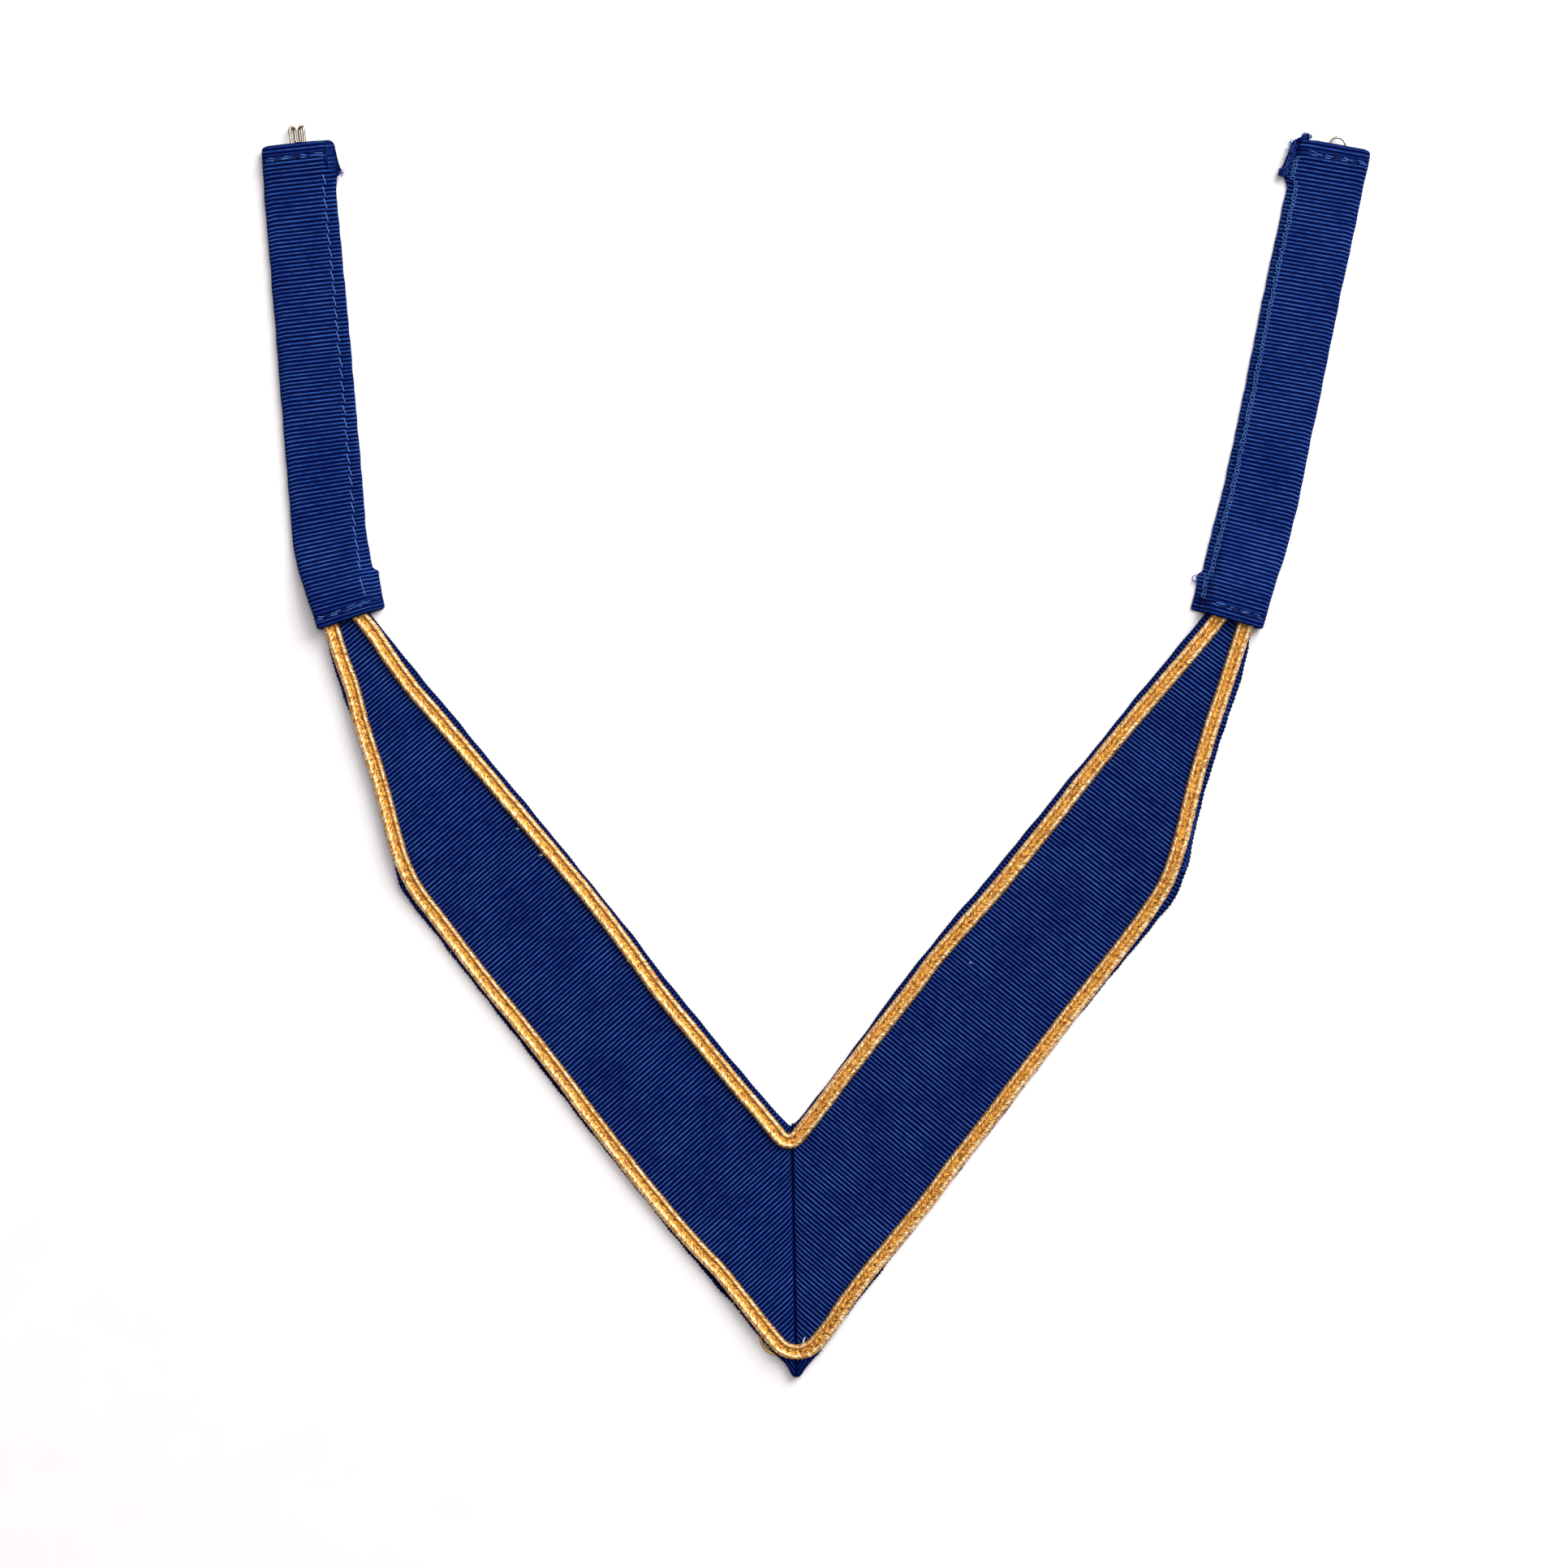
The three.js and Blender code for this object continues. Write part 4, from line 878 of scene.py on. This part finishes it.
leg = fitting["width"] / 2 - fitting["wire"] / 2
bill = fitting["billGap"] / 2 + fitting["wire"] / 2
billHeight = fitting["wire"] / 2
turnRadius = math.hypot(leg - bill, wireHeight - billHeight) / 2
turnStart = fitting["reach"] - fitting["wire"] / 2 - turnRadius
turnAngle = np.linspace(0, np.pi, 9)
turnShare = (1 - np.cos(turnAngle)) / 2
hookTurn = np.stack([leg + (bill - leg) * turnShare, turnStart + turnRadius * np.sin(turnAngle),
                     wireHeight + (billHeight - wireHeight) * turnShare], -1)
# the bill's two wires come down on the table side and meet in a small round end
billEnd = [(bill, 2 * bill - 0.4, billHeight), (bill * 0.7071, bill * 1.2929 - 0.15, billHeight)]
hookHalf = np.vstack([sewingLoop(leg), [(leg, turnStart / 2, wireHeight)], hookTurn, billEnd])
eyeAngle = np.linspace(0, np.pi / 2, 7)[1:-1]
eyeArc = np.stack([fitting["eyeRadius"] * np.cos(eyeAngle), fitting["eyeRadius"] * np.sin(eyeAngle),
                   np.full(len(eyeAngle), wireHeight)], -1)
eyeHalf = np.vstack([sewingLoop(fitting["eyeRadius"]), eyeArc])


# painted light on the upper side of each ring of a tube; nought below and at its sides, which take the
# painted shade
def paintedLightOf(points):
    middle = points[..., 2].mean(axis=2, keepdims=True)
    reach = points[..., 2].max(axis=2, keepdims=True) - middle
    return np.clip((points[..., 2] - middle) / (reach + 1e-6), 0, 1) ** 3


# a bent wire of one radius along its path
def wirePiece(name, path, radius, material, nodes):
    points = tubePoints([path], np.full((1, len(path)), radius), fitting["sides"])
    return place(loftMesh(name, points, {"paintedLight": paintedLightOf(points)}), material, "fitting_wire", nodes)


hookPath = fittingPath(leftArm, hookHalf, 0.0, fitting["hookSteps"])
eyePath = fittingPath(rightArm, eyeHalf, fitting["eyeOffset"], fitting["eyeSteps"])
wirePiece("hookWire", hookPath, fitting["shownHook"], bronzeWire, ["hook"])
wirePiece("eyeWire", eyePath, fitting["shownEye"], nickelWire, ["eye"])


ring = dict(wire=0.75, steps=96, sides=14)


# a ring is a circle carried round a circle, lying on the table
def makeRing(name, centre, radius, material, nodes):
    steps, sides, half = ring["steps"], ring["sides"], ring["wire"] / 2
    turn = (np.arange(steps) / steps * 2 * np.pi)[:, None]
    section = (np.arange(sides) / sides * 2 * np.pi)[None, :]
    reach = radius + half * np.cos(section)
    points = np.stack([centre[0] + reach * np.cos(turn), centre[1] + reach * np.sin(turn),
                       np.broadcast_to(half * (1 + np.sin(section)), (steps, sides))], -1)
    mesh = bpy.data.meshes.new(name)
    row, column = np.arange(steps)[:, None] * sides, np.arange(sides)[None, :]
    nextRow, nextColumn = (row + sides) % (steps * sides), (column + 1) % sides
    quads = np.stack([row + column, nextRow + column, nextRow + nextColumn, row + nextColumn], -1)
    mesh.from_pydata((points.reshape(-1, 3) * 0.001).tolist(), [], quads.reshape(-1, 4).tolist())
    mesh.shade_smooth()
    # painted light on the ring's upper side; its sides and underside take the painted shade
    layer = mesh.attributes.new("paintedLight", "FLOAT", "POINT")
    paintedLight = np.tile(np.clip(np.sin(section[0]), 0, 1) ** 2, steps)
    layer.data.foreach_set("value", paintedLight.astype(np.float32))
    piece = bpy.data.objects.new(name, mesh)
    bpy.context.scene.collection.objects.link(piece)
    return place(piece, material, "ring_wire", nodes)


ringRadius = (ringHigh - ringLow)[0] / 2 - ring["wire"] / 2
makeRing("ringWire", (ringLow + ringHigh)[:2] / 2, ringRadius, giltWire, ["jewel_ring"])
print("wire made")


# the long stitches down the left strap, at footLine where it narrows towards the foot
stitch = dict(
    radius=0.13, pitch=3.0, length=2.5,
    rise=0.1,           # of each arch over the cloth
    start=5.0, end=8.0,     # first stitch from the foot, last one from the top
    footLine=((3.5, 8, 12), (-4.4, -3.6, -3.7)),
)


# threads as tubes of one radius, or of radii that change along them
def threadPiece(name, lines, radius, material, slotName, sides=6):
    lines = np.asarray(lines, float)
    radii = np.full(lines.shape[:2], radius) if np.isscalar(radius) else radius
    return place(loftMesh(name, tubePoints(lines, radii, sides)), material, slotName)


# a stitch: a low arch between two holes, its ends sunk in the cloth
def archLines(start, end, height, count=9):
    share = np.linspace(0, 1, count)[None, :, None]
    line = start[:, None] + (end - start)[:, None] * share
    line[..., 2] += height * (1 - (2 * share[..., 0] - 1) ** 4) - 0.12
    return line


rng = np.random.default_rng(3)
topLeft, topRight = leftArm["strapLength"], rightArm["strapLength"]
# left strap: long stitches down the selvedge side, each leaning over two or three ribs
stitchAt = np.arange(stitch["start"], topLeft - stitch["end"], stitch["pitch"])
stitchAt = stitchAt + rng.normal(0, 0.15, len(stitchAt))
line = strapEdge(leftArm, stitchAt, 2) + strapDetail["stitchIn"] + 0.12 * wander(stitchAt, 9, 4)
line = np.where(stitchAt < stitch["footLine"][0][-1], np.interp(stitchAt, *stitch["footLine"]), line)
threadPiece("leftStrapStitches", archLines(
    onStrap(leftArm, stitchAt, line - 0.3),
    onStrap(leftArm, stitchAt + stitch["length"], line + 0.25), stitch["rise"]),
    stitch["radius"], paleThread, "ribbon")


# hems at the strap ends: short back stitches in two untidy rows, dark and paler in turn
def hemStitches(name, arm, distance, seed):
    rng = np.random.default_rng(seed)
    low = strapEdge(arm, distance, 2) + arm["underShow"] + 1.0
    high = strapEdge(arm, distance, 1) - 1.2
    skew = arm["footSkew"] if distance < arm["strapLength"] / 2 else arm["topSkew"]
    lines = []
    for row, count in ((-0.35, 8), (0.25, 8), (0.0, 5)):
        start = np.linspace(low, high - 1.6, count) + rng.normal(0, 0.35, count)
        end = start + rng.uniform(1.1, 2.3, count)
        y0, y1 = (distance + row + rng.normal(0, 0.16, count) for _ in range(2))
        lines.append(archLines(onStrap(arm, y0 + start * skew, start),
                               onStrap(arm, y1 + end * skew, end), stitch["rise"]))
    lines = np.concatenate(lines)
    threadPiece(name, lines[::2], 0.15, navyThread, "ribbon")
    threadPiece(name + "Pale", lines[1::2], 0.12, loopThread, "ribbon")


for name, arm, distance, seed in (
        ("leftHemTop", leftArm, topLeft - 3.4, 5), ("leftHemFoot", leftArm, 2.6, 6),
        ("rightHemTop", rightArm, topRight - 3.4, 7), ("rightHemFoot", rightArm, 2.8, 8)):
    hemStitches(name, arm, distance, seed)


flap = dict(
    rowStep=0.14, columns=26,
    groove=0.34,        # depth of its ribs, as a share of their pitch
    edgeRound=0.6,
    edgeFade=0.35,      # the ribs fade out over this distance from the raw edge
)


# A loose flap of ribbon: rows give the distance along and its two sides; its ribs are stripes at their own
# angle, its top is domed and its underside flat.
def flapMesh(name, toPlan, rows, ribAngle, dome, lift, thickness=0.9, pitch=0.62):
    rows = np.array(rows, float)
    count = int(abs(rows[-1, 0] - rows[0, 0]) / flap["rowStep"]) + 2
    line = np.linspace(rows[0, 0], rows[-1, 0], count)
    order = np.argsort(rows[:, 0])
    low, high = (np.interp(line, rows[order, 0], rows[order, k]) for k in (1, 2))
    across = np.linspace(0, 1, flap["columns"])
    offset = low[:, None] + (high - low)[:, None] * across
    plan = toPlan(np.broadcast_to(line[:, None], offset.shape), offset)
    angle = math.radians(ribAngle)
    along = plan[..., 0] * math.cos(angle) + plan[..., 1] * math.sin(angle)
    over = plan[..., 1] * math.cos(angle) - plan[..., 0] * math.sin(angle)
    crest = np.sin(np.pi * over / pitch) ** 2
    fromEnd = np.minimum(np.abs(line - line[0]), np.abs(line[-1] - line))[:, None]
    edge = np.minimum(np.minimum(across, 1 - across) * np.abs(high - low)[:, None], fromEnd)
    rounding = 0.12 + 0.88 * np.sqrt(np.clip(edge / flap["edgeRound"], 0, 1))
    relief = dome * np.sin(np.pi * across) - flap["groove"] * pitch * (1 - crest)
    top = plan[..., 2] + lift + relief * rounding
    bottom = np.maximum(top - thickness * rounding, 0.03)
    points = bothFaces(np.dstack([plan[..., :2], top]), np.dstack([plan[..., :2], bottom]))
    uv = np.stack([along, over], -1) * 0.01
    faded = crest * (0.75 + 0.25 * wander(along, 1.7, 9)) * np.clip(edge / flap["edgeFade"], 0.3, 1)
    return loftMesh(name, points, {"rib": bothFaces(faded, faded)}, bothFaces(uv, uv))


# a flap whose rows are distances from a strap's foot and offsets from its middle line
def strapFlap(name, arm, rows, ribAngle, dome, lift):
    piece = flapMesh(name, lambda along, offset: onStrap(arm, along, offset), rows, ribAngle, dome, lift)
    return place(piece, ribbonMaterial, "ribbon")


leftCorner = strapFlap("leftCornerFlap", leftArm, [
    (117.6, -7.0, -8.1), (116.8, -6.7, -8.8), (115.0, -6.4, -9.1), (113.1, -5.9, -9.3), (111.4, -6.5, -9.6),
    (110.2, -7.1, -9.9), (109.4, -7.6, -9.6), (108.5, -8.1, -8.6)], -54, 0.15, -0.05)
rightCorner = strapFlap("rightCornerFlap", rightArm, [
    (118.8, -8.3, -9.6), (116.0, -8.0, -10.2), (113.0, -8.4, -10.7), (111.4, -8.8, -11.1),
    (110.4, -9.0, -11.6), (109.5, -9.6, -11.4)], 66, 0.15, -0.4)
rightTuft = strapFlap("rightTopTuft", rightArm, [
    (118.9, -9.2, -6.0), (119.4, -8.9, -5.9), (119.9, -8.2, -6.0), (120.6, -7.6, -6.2),
    (121.2, -6.9, -6.4)], 30, 0.1, -0.35)


# a place on the folds at the point, so far above and right of the corner of the V
def pointPlan(upwards, right):
    xy = vCorner + np.stack([right, upwards], -1)
    return np.dstack([xy, np.full(right.shape, pointLift + ribbon["thickness"])])


# the two folds at the point, from the braid down
for sideName, rows, ribAngle in (
        ("left", [(-54.9, -4.6, 0.95), (-56.0, -3.2, 0.95), (-57.9, -1.3, 0.97),
                  (-59.2, -0.65, 0.98), (-60.2, -0.2, 1.0), (-60.85, 0.55, 1.0)], -56),
        ("right", [(-54.7, 0.95, 6.7), (-56.0, 0.95, 5.6), (-57.4, 0.97, 4.4),
                   (-59.0, 0.98, 3.1), (-60.2, 1.0, 2.35), (-60.85, 1.0, 1.7)], 58)):
    piece = flapMesh(sideName + "PointFold", pointPlan, rows, ribAngle, 0.6, -0.1, 1.6, 0.8)
    fold = place(piece, ribbonMaterial, "ribbon")


ribLoop = dict(
    radius=0.1, points=14,
    acrossReach=0.52, alongReach=0.38,      # half the loop's size
    fromEnds=4.0,
)
# right strap: the filling cord turns back at each rib's end and shows as a small oval loop
loopAt = np.arange(ribLoop["fromEnds"], topRight - ribLoop["fromEnds"], ribbon["ribPitch"])
loopCount = len(loopAt)
loopAt = loopAt + rng.normal(0, 0.08, loopCount)
loopEdge = strapEdge(rightArm, loopAt, 2) + rightArm["underShow"] + rng.normal(0.05, 0.1, loopCount)
turnRound = np.linspace(0, 2 * np.pi * 0.96, ribLoop["points"])
loopReach = ribLoop["acrossReach"] * rng.uniform(0.7, 1.2, loopCount)
loopAcross = loopEdge[:, None] + np.cos(turnRound) * loopReach[:, None]
loopReach = ribLoop["alongReach"] * rng.uniform(0.8, 1.1, loopCount)
loopSlant = np.tan(np.radians(rightArm["strapLean"] - look(rightArm["strapRibs"], loopAt, 1)))
loopAlong = loopAt[:, None] + np.sin(turnRound) * loopReach[:, None] + loopAcross * loopSlant[:, None]
threadPiece("rightStrapLoops", onStrap(rightArm, loopAlong, loopAcross, 0.02), ribLoop["radius"],
            loopThread, "ribbon", 5)


# braid stitches: dark pricks in the groove, each a short arch at the nearest place on the braid's line
def grooveStitches(name, route, spots, material):
    line, total = smoothPath(route, 0.1)
    seat = armTop(line)
    distance = np.linspace(0, total, len(line))
    apart = np.linalg.norm(line[None] - (vCorner + np.array(spots))[:, None], axis=2)
    places = distance[np.argmin(apart, axis=1)] - 0.25
    start = np.array([np.interp(places, distance, line[:, k]) for k in range(2)]).T
    end = np.array([np.interp(places + 0.5, distance, line[:, k]) for k in range(2)]).T
    level = np.interp(places, distance, seat) + braid["height"] * 0.66
    start, end = (np.hstack([p, level[:, None]]) for p in (start, end))
    threadPiece(name, archLines(start, end, 0.12, 7), 0.17, material, "braid")


# right of and above the corner of the V
grooveStitches("grooveStitches", outerRoute, [
    (-0.7, -53.5), (2.1, -54.6), (3.5, -54.4), (5.0, -53.4), (7.1, -51.7), (8.2, -50.3), (9.4, -47.9),
    (11.2, -46.0), (12.3, -44.0), (20.7, -33.4), (23.8, -29.1)], holeThread)


# fibres: each starts at a place, runs off in its own direction and curls; the radius dwindles to the end
def fibres(name, starts, headings, lengths, seed, material, radius=0.07, count=8, slotName="ribbon"):
    rng = np.random.default_rng(seed)
    number = len(starts)
    share = np.linspace(0, 1, count)
    turning = rng.normal(0, 0.9, number)[:, None] * share
    angle = np.radians(np.asarray(headings, float))[:, None] + turning
    steps = np.asarray(lengths, float)[:, None] / (count - 1)
    x = np.cumsum(np.cos(angle) * steps, axis=1) - np.cos(angle[:, :1]) * steps
    y = np.cumsum(np.sin(angle) * steps, axis=1) - np.sin(angle[:, :1]) * steps
    z = rng.uniform(-0.5, 0.7, number)[:, None] * share
    lines = np.asarray(starts, float)[:, None] + np.stack([x, y, z], -1)
    lines[..., 2] = np.maximum(lines[..., 2], 0.12)
    radii = radius * (1 - 0.6 * share)[None, :] * np.ones((number, 1))
    return threadPiece(name, lines, radii, material, slotName, 5)


# places on a strap, spread evenly about one spot
def scatter(arm, distance, offset, number, spreadAlong, spreadAcross, seed, above):
    rng = np.random.default_rng(seed)
    along = distance + rng.uniform(-1, 1, number) * spreadAlong
    return onStrap(arm, along, offset + rng.uniform(-1, 1, number) * spreadAcross, above)


rng = np.random.default_rng(17)
# name, side, distance, offset, number, spread along, spread across, height, heading and its spread, lengths
for name, arm, at, offset, number, along, across, above, heading, turned, shortest, longest in (
        ("frayLeftFlap", leftArm, topLeft - 8.2, -9.5, 22, 0.8, 0.4, -0.3, -40, 28, 0.6, 1.3),
        ("frayRightTop", rightArm, topRight + 0.2, -7.3, 70, 0.5, 0.8, -0.5, 34, 9, 0.6, 1.5),
        ("frayRightTip", rightArm, topRight + 0.0, -5.8, 12, 0.1, 0.2, -0.5, 62, 8, 0.5, 1.1),
        ("frayRightFlap", rightArm, topRight - 9.2, -10.5, 70, 0.8, 0.8, -0.9, 225, 20, 0.5, 1.2),
        ("frayRightSide", rightArm, topRight - 5.6, -9.9, 90, 3.9, 0.3, -0.8, 228, 20, 0.3, 0.6),
        ("strandsRightFlap", rightArm, topRight - 5.2, -9.4, 60, 4.4, 1.0, 0.0, 245, 22, 0.8, 2.0),
        ("frayLeftFoot", leftArm, 10.2, -7.5, 14, 0.6, 0.3, -0.8, 60, 30, 0.4, 0.9),
        ("frayRightFoot", rightArm, 8.6, -9.0, 16, 0.8, 0.3, -1.2, 150, 35, 0.4, 0.9)):
    seed = len(name) + number
    starts = scatter(arm, at, offset, number, along, across, seed, above)
    fibres(name, starts, rng.normal(heading, turned, number), rng.uniform(shortest, longest, number),
           seed + 1, fibreMaterial, 0.08)
fuzz = 260      # short fibres along the right strap's under edge
fuzzAt = rng.uniform(2, topRight - 12, fuzz)
fuzzStart = onStrap(rightArm, fuzzAt, strapEdge(rightArm, fuzzAt, 2) + rng.uniform(0, 1.2, fuzz), -0.9)
fibres("frayRightSelvedge", fuzzStart, rng.normal(190, 45, fuzz), rng.uniform(0.3, 0.8, fuzz),
       12, fibreMaterial, 0.05, 5)

# the raw edge at the point, right of and above the corner of the V
pointEdge = np.array([(-3.2, -55.4), (-2.2, -56.5), (-0.9, -58.1), (0.1, -59.4), (0.8, -60.3), (1.5, -60.3),
                      (2.2, -59.5), (3.1, -58.2), (4.2, -56.9), (5.6, -55.4)])
pointFibres, tuftFibres = 90, 12
edgeAt = rng.uniform(0, len(pointEdge) - 1, pointFibres)
edgePlace = np.stack([np.interp(edgeAt, np.arange(len(pointEdge)), pointEdge[:, k]) for k in range(2)], -1)
edgeStart = np.hstack([vCorner + edgePlace, rng.uniform(1.0, 1.9, (pointFibres, 1))])
edgeHeading = -160 + 15.5 * edgeAt + rng.normal(0, 28, pointFibres)     # out from the edge, all round
fibres("frayPoint", edgeStart, edgeHeading, rng.uniform(0.3, 0.75, pointFibres), 41, fibreMaterial, 0.06, 6)
tuftPlace = vCorner + np.array([6.1, -55.2]) + rng.normal(0, 0.25, (tuftFibres, 2))
fibres("frayPointRight", np.hstack([tuftPlace, np.full((tuftFibres, 1), 1.6)]),
       rng.normal(38, 14, tuftFibres), rng.uniform(0.6, 1.4, tuftFibres), 43, navyThread, 0.09)
# cut ends of the gilt thread that stand off the braid: right, up, heading, length
giltEnds = np.array([
    (-67.4, 74.3, 215, 0.7), (-61.5, 67.9, 225, 1.0), (-114.0, 118.4, 150, 1.0), (-14.4, -42.5, 240, 0.9),
    (-12.8, -44.4, 215, 1.1), (-10.0, 9.6, 225, 0.6), (-40.6, 41.5, 60, 0.6), (44.1, 41.0, 130, 0.6),
    (38.0, -9.0, -40, 0.6), (-84.0, 44.0, 230, 0.6)])
giltStart = np.hstack([vCorner + giltEnds[:, :2], np.full((len(giltEnds), 1), 2.0)])
fibres("giltEnds", giltStart, giltEnds[:, 2], giltEnds[:, 3], 45, giltFibre, 0.1, 8, "braid")

# one thread loop that stands off the right strap's foot
loopTurn = np.linspace(0, 1.75 * np.pi, 12)
loopMiddle = onStrap(rightArm, 8.2, -9.8, -1.4)
loopLine = np.stack([0.62 * np.cos(loopTurn), 0.75 * np.sin(loopTurn), 0.2 * np.sin(loopTurn)], -1)
threadPiece("looseLoop", [loopMiddle + loopLine], 0.12, fibreMaterial, "ribbon")
# a white thread end on the braid, right of the point: right and up from the corner of the V, and height
stray = np.array([(3.15, -51.05, 2.5), (2.85, -51.6, 3.1), (2.65, -52.4, 3.5), (2.6, -53.2, 3.6)])
strayPath = smoothPath(np.hstack([vCorner + stray[:, :2], stray[:, 2:]]), 10)[0]
threadPiece("strayThread", [strayPath], 0.13, whiteThread, "braid")
print("threads made")


# metres
studio = dict(
    tableSize=6, tableDrop=0.00003,
    paper=("#fafafb", "#fdfdfe"),
    worldColour=(1.0, 0.875, 0.865, 1), worldStrength=0.28,
)


# the ground: white paper just below the collar
def makeTable():
    bpy.ops.mesh.primitive_plane_add(size=studio["tableSize"], location=(0, 0, -studio["tableDrop"]))
    table = bpy.context.active_object
    table.name = "table"
    material, tree = newMaterial("whitePaper")
    where = add(tree, "TexCoord").outputs["Object"]
    grain = add(tree, "TexNoise", {"Vector": where, "Scale": 60.0, "Detail": 2.0})
    stops = list(zip((0.3, 0.7), studio["paper"]))
    colour = add(tree, "ValToRGB", {"Fac": grain.outputs["Fac"]}, stops=stops)
    finishMaterial(tree, Base_Color=colour.outputs[0], Roughness=0.9, Specular_IOR_Level=0.1)
    table.data.materials.append(material)


# a round soft light that points at the middle of the collar, in metres and watts
def makeLight(name, spot, size, watts, colour):
    lamp = bpy.data.lights.new(name, "AREA")
    lamp.shape = "DISK"
    lamp.size = size
    lamp.energy = watts
    lamp.color = colour
    holder = bpy.data.objects.new(name, lamp)
    holder.location = spot
    holder.rotation_euler = (-Vector(spot)).to_track_quat("-Z", "Y").to_euler()
    bpy.context.scene.collection.objects.link(holder)


makeTable()
makeLight("softboxRight", (1.0, 1.3, 1.25), 1.6, 54, (1.0, 0.985, 0.97))
makeLight("softboxTop", (0.1, 0.5, 1.9), 1.2, 12, (0.985, 0.99, 1.0))
world = bpy.data.worlds.new("studio")
world.use_nodes = True
background = world.node_tree.nodes["Background"]
background.inputs["Color"].default_value = studio["worldColour"]
background.inputs["Strength"].default_value = studio["worldStrength"]
bpy.context.scene.world = world

view = dict(
    height=1.1,         # metres over the table
    level=0.0012,       # of the cloth that is in scale
    field=0.3864,       # metres across the picture at that level
    middle=(-2.0, 85.2),    # mm right of and above the corner of the V
    sensor=36,
)
bpy.context.scene.view_settings.view_transform = "Standard"
camera = bpy.data.cameras.new("camera")
camera.sensor_width = view["sensor"]
camera.lens = view["sensor"] * (view["height"] - view["level"]) / view["field"]
holder = bpy.data.objects.new("camera", camera)
holder.location = (*(vCorner + view["middle"]) / 1000, view["height"])
bpy.context.scene.collection.objects.link(holder)
bpy.context.scene.camera = holder
print("scene set")
